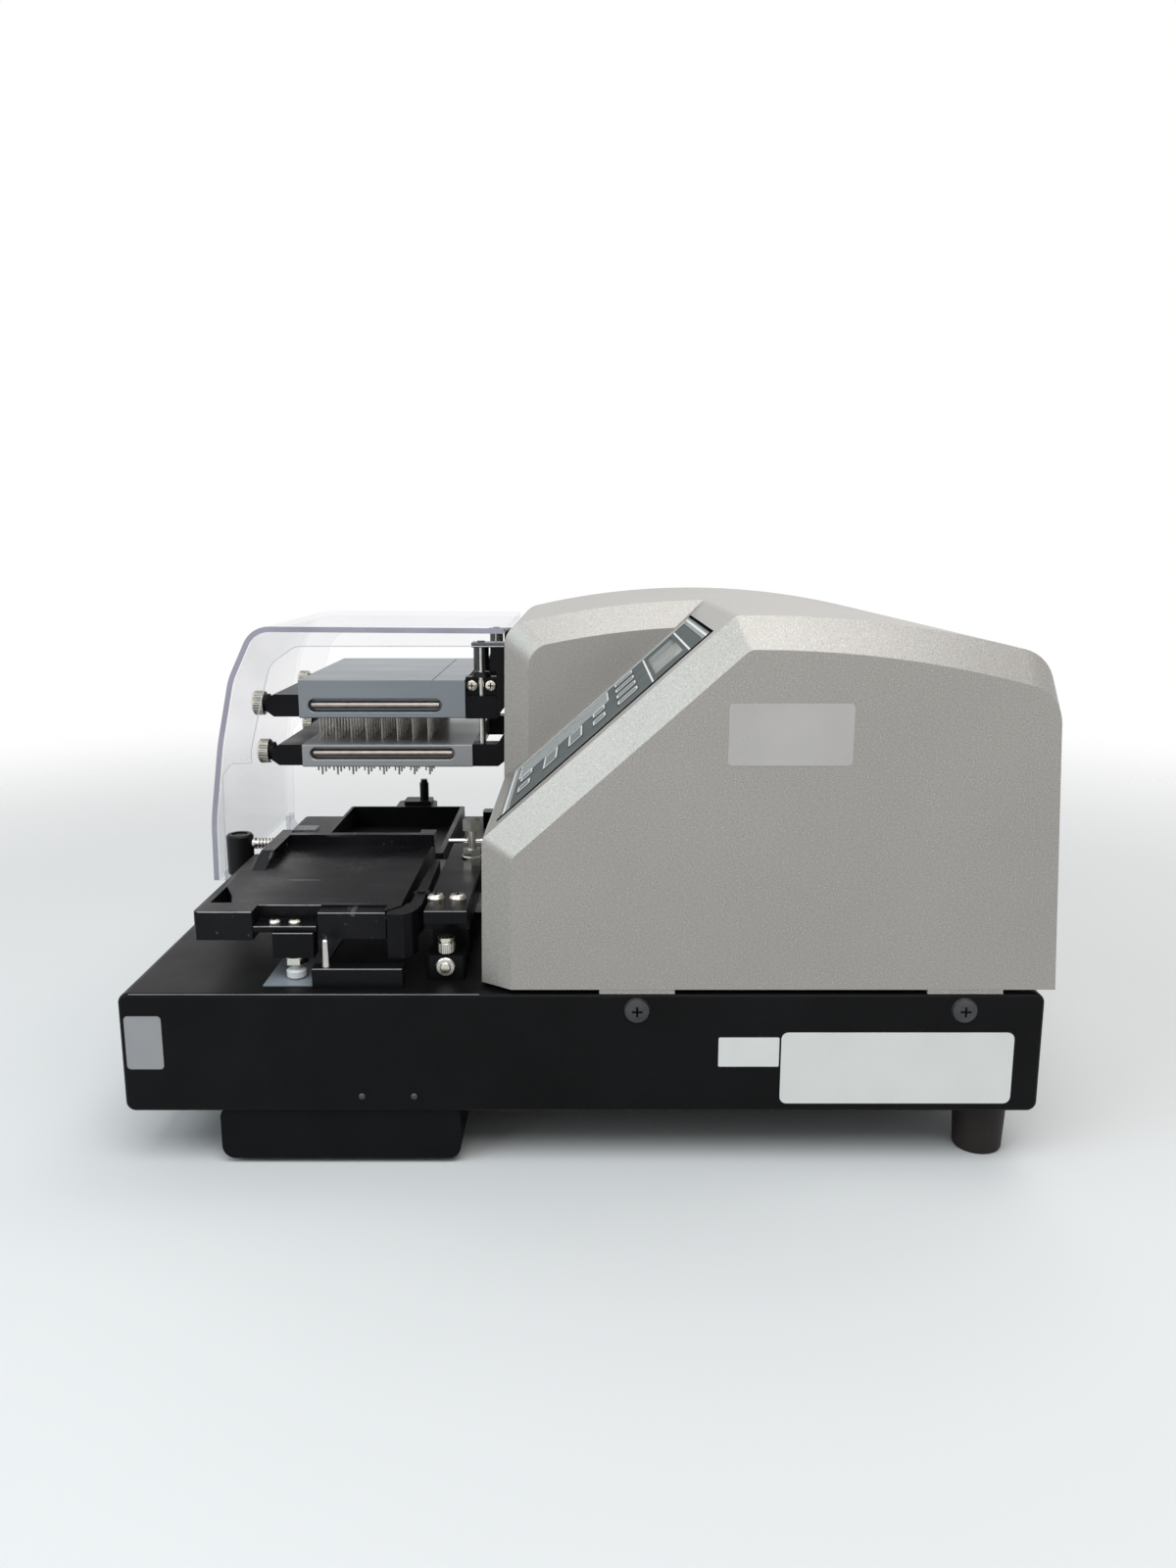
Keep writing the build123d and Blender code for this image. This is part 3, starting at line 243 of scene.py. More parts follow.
@dataclass(frozen=True)
class Finish:
    """A surface with a mottled colour, uneven gloss and a fine grain."""

    name: str
    colour: Point
    roughness: float = 0.5
    metallic: float = 0.0
    mottle: float = 0.08
    mottle_scale: float = 40.0
    grain: float = 0.1
    grain_scale: float = 1500.0
    stretch: Point = EVEN
    specular: float = 0.5
    gloss_change: Flat = (-0.05, 0.05)

    def mottled(self, sketch: NodeSketch, pattern: Socket) -> Socket:
        """Make the colour vary with a pattern.

        Args:
            sketch: The material's nodes.
            pattern: The pattern's socket.

        Returns:
            The colour's socket.
        """
        low = tuple(part * (1.0 - self.mottle) for part in self.colour)
        high = tuple(min(1.0, part * (1.0 + self.mottle)) for part in self.colour)
        return sketch.ramp(pattern, (PATTERN_LOW, low), (PATTERN_HIGH, high))

    def uneven(self, sketch: NodeSketch, pattern: Socket) -> Socket:
        """Make the roughness vary with a pattern and return its socket."""
        less, more = self.gloss_change
        return sketch.spread(pattern, self.roughness + less, self.roughness + more)

    def build(self) -> bpy.types.Material:
        """Make the node material.

        Returns:
            The finished material.
        """
        sketch = NodeSketch(self.name)
        shader = sketch.shader()
        broad = sketch.noise(self.mottle_scale, detail=4.0, stretch=self.stretch)
        fine = sketch.noise(self.grain_scale, detail=2.0, stretch=self.stretch)
        sketch.link(self.mottled(sketch, broad), shader.inputs["Base Color"])
        sketch.link(self.uneven(sketch, broad), shader.inputs["Roughness"])
        sketch.link(sketch.bump(fine, self.grain), shader.inputs["Normal"])
        shader.inputs["Metallic"].default_value = self.metallic
        shader.inputs["Specular IOR Level"].default_value = self.specular
        return sketch.material


@dataclass(frozen=True)
class FleckedPaint(Finish):
    """Metallic paint with small dark and bright flecks in it."""

    fleck_scale: float = 1500.0
    dark: Point = (0.255, 0.24, 0.225)
    dark_range: Flat = (0.30, 0.42)
    dark_share: float = 0.8
    bright: Point = (0.50, 0.50, 0.50)
    bright_range: Flat = (0.60, 0.72)
    bright_share: float = 0.7

    def build(self) -> bpy.types.Material:
        """Make the node material.

        Returns:
            The finished material.
        """
        sketch = NodeSketch(self.name)
        shader = sketch.shader()
        base = self.mottled(sketch, sketch.noise(self.mottle_scale, detail=3.0))
        spots = sketch.noise(self.fleck_scale, detail=1.0)
        dark_full, dark_end = self.dark_range
        bright_start, bright_full = self.bright_range
        darker = sketch.ramp(spots, (dark_full, (self.dark_share,) * 3), (dark_end, BLACK))
        lighter = sketch.ramp(spots, (bright_start, BLACK), (bright_full, (self.bright_share,) * 3))
        coloured = sketch.mix(lighter, sketch.mix(darker, base, self.dark), self.bright)
        sketch.link(coloured, shader.inputs["Base Color"])
        sketch.link(sketch.bump(spots, self.grain), shader.inputs["Normal"])
        shader.inputs["Roughness"].default_value = self.roughness
        shader.inputs["Metallic"].default_value = self.metallic
        return sketch.material


@dataclass(frozen=True)
class Wear:
    """A pattern of wear: its noise, its stretch along the axes, and the value it starts at."""

    scale: float
    detail: float
    stretch: Point
    start: float


@dataclass(frozen=True)
class WornMetal(Finish):
    """A dark anodised surface with fine scratches and pale specks worn into it."""

    gloss_change: Flat = (-0.08, 0.10)
    worn: Point = (0.07, 0.07, 0.075)
    wear: tuple[Wear, ...] = (Wear(260.0, 3.0, (1.0, 0.06, 1.0), 0.66),
                              Wear(240.0, 3.0, (0.07, 1.0, 1.0), 0.67),
                              Wear(1100.0, 2.0, EVEN, 0.70))
    wear_edge: float = 0.06

    def build(self) -> bpy.types.Material:
        """Make the node material.

        Returns:
            The finished material.
        """
        sketch = NodeSketch(self.name)
        shader = sketch.shader()
        broad = sketch.noise(self.mottle_scale, detail=5.0)
        base = self.mottled(sketch, broad)
        for wear in self.wear:
            pattern = sketch.noise(wear.scale, wear.detail, wear.stretch)
            mask = sketch.ramp(pattern, (wear.start, BLACK), (wear.start + self.wear_edge, WHITE))
            base = sketch.mix(mask, base, self.worn)
        sketch.link(base, shader.inputs["Base Color"])
        sketch.link(self.uneven(sketch, broad), shader.inputs["Roughness"])
        shader.inputs["Metallic"].default_value = self.metallic
        shader.inputs["Specular IOR Level"].default_value = self.specular
        return sketch.material


@dataclass(frozen=True)
class FadingFloor(Finish):
    """A pale floor that fades into the white background away from the object."""

    near: float = 0.42
    far: float = 1.35

    def build(self) -> bpy.types.Material:
        """Make the node material.

        Returns:
            The finished material.
        """
        sketch = NodeSketch(self.name)
        pale = sketch.tree.nodes.new("ShaderNodeBsdfPrincipled")
        broad = sketch.noise(self.mottle_scale, detail=3.0)
        low = tuple(part * (1.0 - self.mottle) for part in self.colour)
        base = sketch.ramp(broad, (PATTERN_LOW, low), (PATTERN_HIGH, self.colour))
        sketch.link(base, pale.inputs["Base Color"])
        pale.inputs["Roughness"].default_value = self.roughness
        pale.inputs["Specular IOR Level"].default_value = self.specular
        away = sketch.tree.nodes.new("ShaderNodeVectorMath")
        away.operation = "LENGTH"
        sketch.link(sketch.place, away.inputs[0])
        fade = sketch.tree.nodes.new("ShaderNodeMapRange")
        fade.interpolation_type = "SMOOTHSTEP"
        fade.inputs["From Min"].default_value = self.near
        fade.inputs["From Max"].default_value = self.far
        sketch.link(away.outputs["Value"], fade.inputs["Value"])
        clear = sketch.tree.nodes.new("ShaderNodeBsdfTransparent")
        sketch.blend(fade.outputs["Result"], pale, clear)
        return sketch.material


@dataclass(frozen=True)
class ClearSheet(Finish):
    """Clear acrylic: light passes it, and its gloss shows at the edges."""

    gloss_change: Flat = (0.0, 0.06)
    tint: Point = (0.955, 0.955, 0.96)
    pale_tint: Point = (0.985, 0.985, 0.99)
    edge_blend: float = 0.12
    face_veil: float = 0.02
    veil: float = 0.3

    def build(self) -> bpy.types.Material:
        """Make the node material.

        Returns:
            The finished material.
        """
        sketch = NodeSketch(self.name)
        clear = sketch.tree.nodes.new("ShaderNodeBsdfTransparent")
        haze = sketch.noise(self.mottle_scale, detail=4.0)
        tinted = sketch.ramp(haze, (PATTERN_LOW, self.tint), (PATTERN_HIGH, self.pale_tint))
        sketch.link(tinted, clear.inputs["Color"])
        gloss = sketch.tree.nodes.new("ShaderNodeBsdfPrincipled")
        gloss.inputs["Base Color"].default_value = (*self.colour, 1.0)
        sketch.link(self.uneven(sketch, haze), gloss.inputs["Roughness"])
        facing = sketch.tree.nodes.new("ShaderNodeLayerWeight")
        facing.inputs["Blend"].default_value = self.edge_blend
        veil = sketch.tree.nodes.new("ShaderNodeMapRange")
        veil.inputs["To Min"].default_value = self.face_veil
        veil.inputs["To Max"].default_value = self.veil
        sketch.link(facing.outputs["Facing"], veil.inputs["Value"])
        sketch.blend(veil.outputs["Result"], clear, gloss)
        return sketch.material


class Paint(Enum):
    """Every finish on the washer."""

    CHASSIS = Finish("black_powder_coat", (0.005, 0.005, 0.0055), 0.40, 0.0, 0.25, 30.0, 0.3,
                     1400.0, specular=0.09)
    PAN = Finish("black_pan_coat", (0.005, 0.005, 0.006), 0.5, 0.0, 0.25, 30.0, 0.3, 1400.0,
                 specular=0.08)
    HOUSING = FleckedPaint("silver_fleck_paint", (0.358, 0.337, 0.312), 0.39, 0.48, 0.03, 14.0,
                           0.35)
    RUBBER = Finish("foot_rubber", (0.022, 0.017, 0.016), 0.6, 0.0, 0.2, 60.0, 0.4, 900.0,
                    specular=0.2)
    BLACK_SCREW = Finish("black_oxide_screw", (0.035, 0.035, 0.037), 0.3, 0.3, 0.2, 200.0, 0.2,
                         2500.0, specular=0.7)
    KEYPAD_BORDER = Finish("keypad_border", (0.36, 0.37, 0.365), 0.5, 0.0, 0.05, 40.0, 0.15, 2000.0,
                           specular=0.0)
    KEYPAD_FILM = Finish("keypad_film", (0.145, 0.152, 0.15), 0.5, 0.0, 0.08, 60.0, 0.2, 2500.0,
                         specular=0.0)
    KEY_GREY = Finish("key_grey", (0.25, 0.26, 0.255), 0.5, 0.0, 0.05, 60.0, 0.15, 2500.0,
                      specular=0.0)
    KEY_LINE = Finish("key_line", (0.80, 0.80, 0.79), 0.5, 0.0, 0.04, 60.0, 0.1, 2500.0,
                      specular=0.0)
    DISPLAY = Finish("display_glass", (0.40, 0.43, 0.41), 0.1, 0.0, 0.08, 50.0, 0.02, 600.0)
    BLACK_PLASTIC = Finish("black_plastic", (0.006, 0.006, 0.0065), 0.4, 0.0, 0.2, 50.0, 0.25,
                           1800.0, specular=0.16)
    BLACK_METAL = Finish("black_anodised", (0.005, 0.005, 0.006), 0.34, 0.0, 0.25, 60.0, 0.12,
                         2200.0, (1.0, 0.2, 1.0), specular=0.11)
    BLACK_GLOSS = Finish("black_lacquer", (0.010, 0.010, 0.012), 0.12, 0.0, 0.2, 60.0, 0.04, 1800.0,
                         specular=0.6)
    NEST_METAL = WornMetal("worn_black_nest", (0.006, 0.006, 0.007), 0.32, 0.0, 0.45, 35.0,
                           specular=0.14)
    BLUE_METAL = Finish("blue_grey_anodised", (0.215, 0.238, 0.258), 0.34, 0.6, 0.05, 50.0, 0.1,
                        2200.0, (1.0, 0.25, 1.0))
    GREY_METAL = Finish("grey_anodised", (0.29, 0.295, 0.30), 0.34, 0.6, 0.05, 50.0, 0.1, 2200.0,
                        (1.0, 0.25, 1.0))
    # Painted highlight: bright metal strips laid along the black parts' edges.
    EDGE_HIGHLIGHT = Finish("machined_edge_highlight", (0.42, 0.42, 0.43), 0.3, 0.7, 0.15, 200.0, 0.1, 2200.0)
    STEEL = Finish("ground_steel", (0.56, 0.54, 0.51), 0.24, 1.0, 0.12, 300.0, 0.08, 2600.0)
    TUBE_STEEL = Finish("drawn_tube_steel", (0.40, 0.37, 0.34), 0.3, 1.0, 0.1, 300.0, 0.0, 2600.0)
    ROD_STEEL = Finish("brown_steel", (0.34, 0.30, 0.27), 0.34, 1.0, 0.12, 200.0, 0.06, 2600.0)
    NICKEL = Finish("nickel_plate", (0.62, 0.58, 0.51), 0.24, 1.0, 0.08, 200.0, 0.1, 2200.0)
    NYLON = Finish("white_nylon", (0.80, 0.80, 0.79), 0.4, 0.0, 0.04, 80.0, 0.1, 1500.0)
    ALUMINIUM = Finish("machined_aluminium", (0.58, 0.58, 0.59), 0.34, 0.9, 0.08, 80.0, 0.15,
                       2400.0, (0.2, 1.0, 1.0))
    MOTOR = Finish("motor_black", (0.03, 0.03, 0.032), 0.45, 0.3, 0.15, 60.0, 0.2, 1600.0)
    BELT = Finish("belt_rubber", (0.03, 0.03, 0.03), 0.7, 0.0, 0.2, 90.0, 0.5, 1200.0)
    PLATED = Finish("plated_sheet", (0.45, 0.46, 0.47), 0.38, 0.8, 0.1, 25.0, 0.12, 1800.0)
    BOARD = Finish("green_board", (0.02, 0.12, 0.055), 0.35, 0.0, 0.3, 160.0, 0.3, 900.0)
    FITTING = Finish("pale_fitting", (0.62, 0.62, 0.60), 0.4, 0.0, 0.05, 80.0, 0.1, 1500.0)
    CLEAR = ClearSheet("clear_acrylic", (0.80, 0.80, 0.83), 0.06, 0.0, 0.1, 9.0)
    CLEAR_EDGE = Finish("acrylic_edge", (0.36, 0.34, 0.41), 0.25, 0.0, 0.12, 30.0, 0.05, 900.0)
    # Painted highlight: the pale line of light along the clear flange's edge.
    CLEAR_RIM_HIGHLIGHT = Finish("acrylic_rim_highlight", (0.62, 0.62, 0.65), 0.25, 0.0, 0.06, 30.0, 0.05, 900.0)
    CLEAR_BLOCK = ClearSheet("clear_block", (0.75, 0.76, 0.80), 0.1, 0.0, 0.2, 60.0,
                             tint=(0.78, 0.79, 0.83), veil=0.8)
    WHITE_LABEL = Finish("white_label", (0.72, 0.72, 0.70), 0.35, 0.0, 0.03, 30.0, 0.05, 900.0)
    SILVER_LABEL = Finish("silver_label", (0.46, 0.44, 0.43), 0.28, 0.3, 0.06, 25.0, 0.05, 900.0)
    GREY_LABEL = Finish("grey_label", (0.30, 0.30, 0.31), 0.35, 0.0, 0.06, 25.0, 0.05, 900.0)
    # Painted shade: near black and without gloss, laid in screw recesses and in the gap beside the
    # keypad.
    SEAM = Finish("shadow_seam", (0.004, 0.004, 0.0045), 0.7, 0.0, 0.2, 60.0, 0.1, 900.0,
                  specular=0.0)
    ZINC = Finish("zinc_plate", (0.60, 0.58, 0.54), 0.17, 1.0, 0.08, 200.0, 0.05, 2200.0)
    CAP_GREY = Finish("cap_grey", (0.10, 0.105, 0.11), 0.35, 0.5, 0.1, 120.0, 0.1, 2200.0)
    EDGE_GLINT = Finish("edge_glint", (0.20, 0.22, 0.21), 0.3, 0.0, 0.3, 40.0, 0.05, 900.0)
    FROSTED = Finish("frosted_strip", (0.25, 0.28, 0.31), 0.22, 0.0, 0.1, 60.0, 0.1, 900.0)


NODE_PAINT: dict[str, Paint] = {
    "base_chassis": Paint.CHASSIS, "bottom_pan": Paint.PAN, "feet": Paint.RUBBER,
    "housing": Paint.HOUSING, "housing_screws": Paint.BLACK_SCREW,
    "keypad_frame": Paint.KEYPAD_BORDER, "keypad_membrane": Paint.KEYPAD_FILM,
    "lcd_module": Paint.DISPLAY, "trough": Paint.BLACK_PLASTIC, "deck_block": Paint.BLACK_METAL,
    "deck_pins": Paint.STEEL, "wear_strip": Paint.FROSTED, "shield_brackets": Paint.CLEAR_BLOCK,
    "guide_rail": Paint.STEEL, "rail_blocks": Paint.BLACK_METAL, "lift_tower": Paint.ALUMINIUM,
    "lift_rods": Paint.STEEL, "lift_motor": Paint.MOTOR, "carrier_motor": Paint.MOTOR,
    "drive_belt": Paint.BELT, "power_supply": Paint.PLATED, "main_board": Paint.BOARD,
    "dispense_pump": Paint.MOTOR, "valve_block": Paint.FITTING, "connector_panel": Paint.PLATED,
    "power_inlet": Paint.BLACK_PLASTIC, "data_ports": Paint.PLATED, "fluid_ports": Paint.FITTING,
    "plate_nest": Paint.NEST_METAL, "bearing_blocks": Paint.BLACK_PLASTIC,
    "carriage_plate": Paint.BLACK_METAL, "carrier_screws": Paint.NICKEL,
    "foot_bracket": Paint.BLACK_METAL, "levelling_foot": Paint.NYLON, "adjuster_bolt": Paint.ZINC,
    "belt_clamp": Paint.ALUMINIUM, "plunger_spring": Paint.STEEL, "plunger_shaft": Paint.STEEL,
    "plunger_knob": Paint.BLACK_PLASTIC, "clamp_lever": Paint.BLACK_METAL,
    "dispense_manifold": Paint.GREY_METAL, "dispense_tubes": Paint.TUBE_STEEL,
    "dispense_cap": Paint.BLACK_METAL, "dispense_slot_rods": Paint.ROD_STEEL,
    "dispense_thumbscrews": Paint.BLACK_METAL, "head_frames": Paint.BLACK_METAL,
    "head_guides": Paint.STEEL, "aspirate_actuators": Paint.BLACK_GLOSS,
    "lift_carriage": Paint.ALUMINIUM, "aspirate_manifold": Paint.BLUE_METAL,
    "aspirate_tubes": Paint.TUBE_STEEL, "aspirate_cap": Paint.BLACK_METAL,
    "aspirate_slot_rods": Paint.ROD_STEEL, "aspirate_thumbscrews": Paint.BLACK_METAL,
    "aspirate_connectors": Paint.BLACK_METAL, "lift_screw": Paint.STEEL,
    "drive_pulley": Paint.ALUMINIUM, "idler_pulley": Paint.ALUMINIUM,
    "power_switch": Paint.BLACK_PLASTIC, "mist_shield": Paint.CLEAR,
}


@dataclass
class Workshop:
    """Makes each finish once and turns bmesh shapes into finished pieces."""

    made: dict[Paint, bpy.types.Material] = field(default_factory=dict)

    def material(self, paint: Paint) -> bpy.types.Material:
        """Look up a finish's material, which is made on first use.

        Args:
            paint: The finish.

        Returns:
            Its material.
        """
        if paint not in self.made:
            self.made[paint] = paint.value.build()
        return self.made[paint]

    def dress(self, nodes: dict[str, bpy.types.Object]) -> None:
        """Give every CAD node its finish.

        Args:
            nodes: The CAD nodes by name.
        """
        for name, node in nodes.items():
            material = self.material(NODE_PAINT[name])
            for slot in node.material_slots:
                slot.material = material

    def piece(self, name: str, shape: bmesh.types.BMesh, paint: Paint, body: Body,
              smooth: bool = True) -> bpy.types.Object:
        """Turn a shape in millimetres into a finished piece that rides on a body.

        Args:
            name: The piece's name.
            shape: The shape, in millimetres in the row frame; it is freed here.
            paint: Its finish.
            body: The body that it rides on.
            smooth: Whether its curved faces are shaded smooth.

        Returns:
            The new object.
        """
        bmesh.ops.scale(shape, vec=(MM, MM, MM), verts=shape.verts)
        bmesh.ops.recalc_face_normals(shape, faces=shape.faces)
        mesh = bpy.data.meshes.new(name)
        shape.to_mesh(mesh)
        shape.free()
        if smooth:
            mesh.shade_smooth()
            mesh.set_sharp_from_angle(angle=SMOOTH_ANGLE)
        made = bpy.data.objects.new(name, mesh)
        bpy.context.scene.collection.objects.link(made)
        mesh.materials.append(self.material(paint))
        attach(made, body.value)
        log.info("%s: %d faces", name, len(mesh.polygons))
        return made


def node_box(node: str) -> tuple[Vector, Vector]:
    """Return a CAD node's lowest and highest corners in millimetres."""
    low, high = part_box(node)
    return low / MM, high / MM


@dataclass(frozen=True)
class Cross:
    """A screw's cross: two thin bars let into its head, whose ends don't lie in one plane."""

    reach: float
    half_width: float
    sunk: Flat
    proud: Flat


class Shape:
    """A bmesh in millimetres that pieces are shaped in."""

    def __init__(self) -> None:
        """Start an empty shape."""
        self.mesh = bmesh.new()

    def turn(self, verts: list[bmesh.types.BMVert], axis: Axis, centre: Point) -> None:
        """Turn vertices that stand along Z to lie along an axis, and move them into place."""
        turned = Axis.Z.value.rotation_difference(axis.value).to_matrix().to_4x4()
        bmesh.ops.transform(self.mesh, matrix=Matrix.Translation(centre) @ turned, verts=verts)

    def block(self, low: Point | Vector, high: Point | Vector, bevel: float = 0.0) -> None:
        """Add a box.

        Args:
            low: Its lowest corner.
            high: Its highest corner.
            bevel: How wide its edges are chamfered.
        """
        made = bmesh.ops.create_cube(self.mesh, size=1.0)["verts"]
        bmesh.ops.scale(self.mesh, vec=Vector(high) - Vector(low), verts=made)
        bmesh.ops.translate(self.mesh, vec=(Vector(high) + Vector(low)) / 2, verts=made)
        if bevel > 0:
            edges = list({edge for vert in made for edge in vert.link_edges})
            bmesh.ops.bevel(self.mesh, geom=edges, offset=bevel, offset_type="OFFSET",
                            affect="EDGES", segments=1, profile=0.5, material=-1)

    def cross(self, face: Point, axis: Axis, size: Cross, facing: int = 1) -> None:
        """Add a screw's cross.

        Args:
            face: The middle of the screw's face.
            axis: The axis that the face looks along.
            size: The cross's sizes.
            facing: 1 to look up the axis, or -1 to look down it.
        """
        out = axis.value * facing
        first, second = (other.value for other in Axis if other is not axis)
        for along, across, sunk, proud in ((first, second, size.sunk[0], size.proud[0]),
                                           (second, first, size.sunk[1], size.proud[1])):
            half = along * size.reach + across * size.half_width
            ends = (Vector(face) - out * sunk, Vector(face) + out * proud)
            low, high = (Vector([pick(pair) for pair in zip(*ends)]) for pick in (min, max))
            self.block(low - half, high + half)

    def lathe(self, profile: tuple[Flat, ...], axis: Axis, centre: Point, steps: int) -> None:
        """Spin a profile of (radius, height) points about an axis.

        Args:
            profile: The points, from one end of the axis to the other.
            axis: The axis that the piece stands along.
            centre: Where height 0 of the profile lies.
            steps: The facets round it.
        """
        ring = [self.mesh.verts.new((radius, 0.0, height)) for radius, height in profile]
        edges = [self.mesh.edges.new(pair) for pair in zip(ring, ring[1:])]
        bmesh.ops.spin(self.mesh, geom=ring + edges, cent=(0, 0, 0), axis=(0, 0, 1),
                       angle=math.tau, steps=steps, use_merge=True)
        made = set(ring)
        grown = set(made)
        while grown:
            grown = {edge.other_vert(v) for v in grown for edge in v.link_edges} - made
            made |= grown
        bmesh.ops.remove_doubles(self.mesh, verts=list(made), dist=WELD)
        self.turn([v for v in made if v.is_valid], axis, centre)

    def knurl(self, rings: tuple[Ring, ...], teeth: int, axis: Axis, centre: Point,
              facing: int = 1) -> None:
        """Add a round piece whose rings can carry teeth.

        Args:
            rings: Radius, height and tooth depth of each ring, from low to high.
            teeth: The teeth round it.
            axis: The axis that it stands along.
            centre: Where height 0 lies.
            facing: 1 to stand up the axis, or -1 to stand down it.
        """
        rows = []
        for radius, height, depth in rings:
            row = []
            for index in range(2 * teeth):
                angle = math.tau * index / (2 * teeth)
                reach = radius - depth * (index % 2)
                row.append(self.mesh.verts.new((reach * math.cos(angle), reach * math.sin(angle),
                                                facing * height)))
            rows.append(row)
        for low, high in zip(rows, rows[1:]):
            for index in range(2 * teeth):
                after = (index + 1) % (2 * teeth)
                self.mesh.faces.new((low[index], low[after], high[after], high[index]))
        self.mesh.faces.new(rows[0])
        self.mesh.faces.new(rows[-1])
        self.turn([vert for row in rows for vert in row], axis, centre)

    def ribbon(self, path: list[Flat], width: float, x0: float, x1: float) -> None:
        """Add a flat band along a (Y, Z) path.

        Args:
            path: The path's points; the band lies on its right-hand side.
            width: The band's width.
            x0: Its lower face's X.
            x1: Its upper face's X.
        """
        stations = []
        for index, point in enumerate(path):
            before = Vector(path[max(index - 1, 0)])
            after = Vector(path[min(index + 1, len(path) - 1)])
            along = (after - before).normalized()
            inner = (point[0] + along.y * width, point[1] - along.x * width)
            stations.append([self.mesh.verts.new((x, *place)) for place in (point, inner)
                             for x in (x0, x1)])
        for first, second in zip(stations, stations[1:]):
            for a, b in ((0, 1), (1, 3), (3, 2), (2, 0)):
                self.mesh.faces.new((first[a], first[b], second[b], second[a]))
        for ends in (stations[0], stations[-1]):
            self.mesh.faces.new([ends[index] for index in (0, 1, 3, 2)])

    def sheet(self, corners: list[Point], thickness: Vector) -> None:
        """Add a flat plate.

        Args:
            corners: Its outline in space.
            thickness: How far, and in which direction, it is drawn out.
        """
        face = self.mesh.faces.new([self.mesh.verts.new(corner) for corner in corners])
        drawn = bmesh.ops.extrude_face_region(self.mesh, geom=[face])["geom"]
        verts = [item for item in drawn if isinstance(item, bmesh.types.BMVert)]
        bmesh.ops.translate(self.mesh, vec=thickness, verts=verts)


def rounded(width: float, height: float, radius: float, steps: int = 5) -> list[Flat]:
    """A rounded rectangle's outline about its centre.

    Args:
        width: Its size along the first axis.
        height: Its size along the second axis.
        radius: Its corners' radius.
        steps: The points in each corner.

    Returns:
        The outline's points, anticlockwise.
    """
    points = []
    for corner, (sx, sy) in enumerate(((1, 1), (-1, 1), (-1, -1), (1, -1))):
        for step in range(steps + 1):
            angle = math.pi / 2 * (corner + step / steps)
            points.append((sx * (width / 2 - radius) + radius * math.cos(angle),
                           sy * (height / 2 - radius) + radius * math.sin(angle)))
    return points


def filleted(corners: tuple[tuple[Flat, float], ...], steps: int = 8) -> list[Flat]:
    """A run of straight lines with rounded corners.

    Args:
        corners: Each corner with its radius; the first and last stay sharp.
        steps: The facets in each rounded corner.

    Returns:
        The run's points.
    """
    points = [corners[0][0]]
    for (before, _), (place, radius), (after, _) in zip(corners, corners[1:], corners[2:]):
        corner = Vector(place)
        back = (Vector(before) - corner).normalized()
        ahead = (Vector(after) - corner).normalized()
        half = back.angle(ahead) / 2
        if radius == 0 or half > STRAIGHT:
            points.append(place)
            continue
        reach = radius / math.tan(half)
        centre = corner + (back + ahead).normalized() * radius / math.sin(half)
        start = corner + back * reach - centre
        turn = (corner + ahead * reach - centre).angle_signed(start)
        for step in range(steps + 1):
            spoke = start.copy()
            spoke.rotate(Matrix.Rotation(turn * step / steps, 2))
            points.append(tuple(centre + spoke))
    points.append(corners[-1][0])
    return points


@dataclass(frozen=True)
class Plate:
    """A blank plate: its limits along Y and along Z, its corners' radius and its finish."""

    name: str
    y: Flat
    z: Flat
    radius: float
    paint: Paint


@dataclass
class LabelPlates:
    """The blank plates on the near side of the chassis and the housing."""

    thickness: float = 0.25
    plates: tuple[Plate, ...] = (
        Plate("rating_plate", (90.9, 196.6), (31.4, 66.0), 3.2, Paint.WHITE_LABEL),
        Plate("notice_plate", (62.4, 90.0), (49.5, 63.6), 0.6, Paint.WHITE_LABEL),
        Plate("front_plate", (-207.0, -190.2), (48.2, 73.8), 1.8, Paint.GREY_LABEL),
        Plate("owner_plate", (63.6, 117.6), (189.0, 216.2), 2.0, Paint.SILVER_LABEL))

    def build(self, shop: Workshop) -> None:
        """Make the four plates.

        Args:
            shop: Makes the pieces.
        """
        side_x = node_box("base_chassis")[1].x
        for plate in self.plates:
            (y0, y1), (z0, z1) = plate.y, plate.z
            outline = rounded(y1 - y0, z1 - z0, plate.radius)
            corners = [(side_x, (y0 + y1) / 2 + y, (z0 + z1) / 2 + z) for y, z in outline]
            shape = Shape()
            shape.sheet(corners, Axis.X.value * self.thickness)
            shop.piece(plate.name, shape.mesh, plate.paint, Body.BASE, smooth=False)


@dataclass
class PanRivets:
    """The two small black rivets on the near side of the chassis."""

    places: tuple[Flat, ...] = ((-100.5, 34.8), (-76.6, 34.8))
    head: tuple[Flat, ...] = ((1.6, -0.2), (1.5, 0.4), (1.1, 0.8), (0.5, 1.0), (0.0, 1.05))

    def build(self, shop: Workshop) -> None:
        """Make the rivets' domed heads.

        Args:
            shop: Makes the pieces.
        """
        side_x = node_box("base_chassis")[1].x
        shape = Shape()
        for y, z in self.places:
            shape.lathe(self.head, Axis.X, (side_x, y, z), steps=20)
        shop.piece("pan_rivets", shape.mesh, Paint.BLACK_SCREW, Body.BASE)


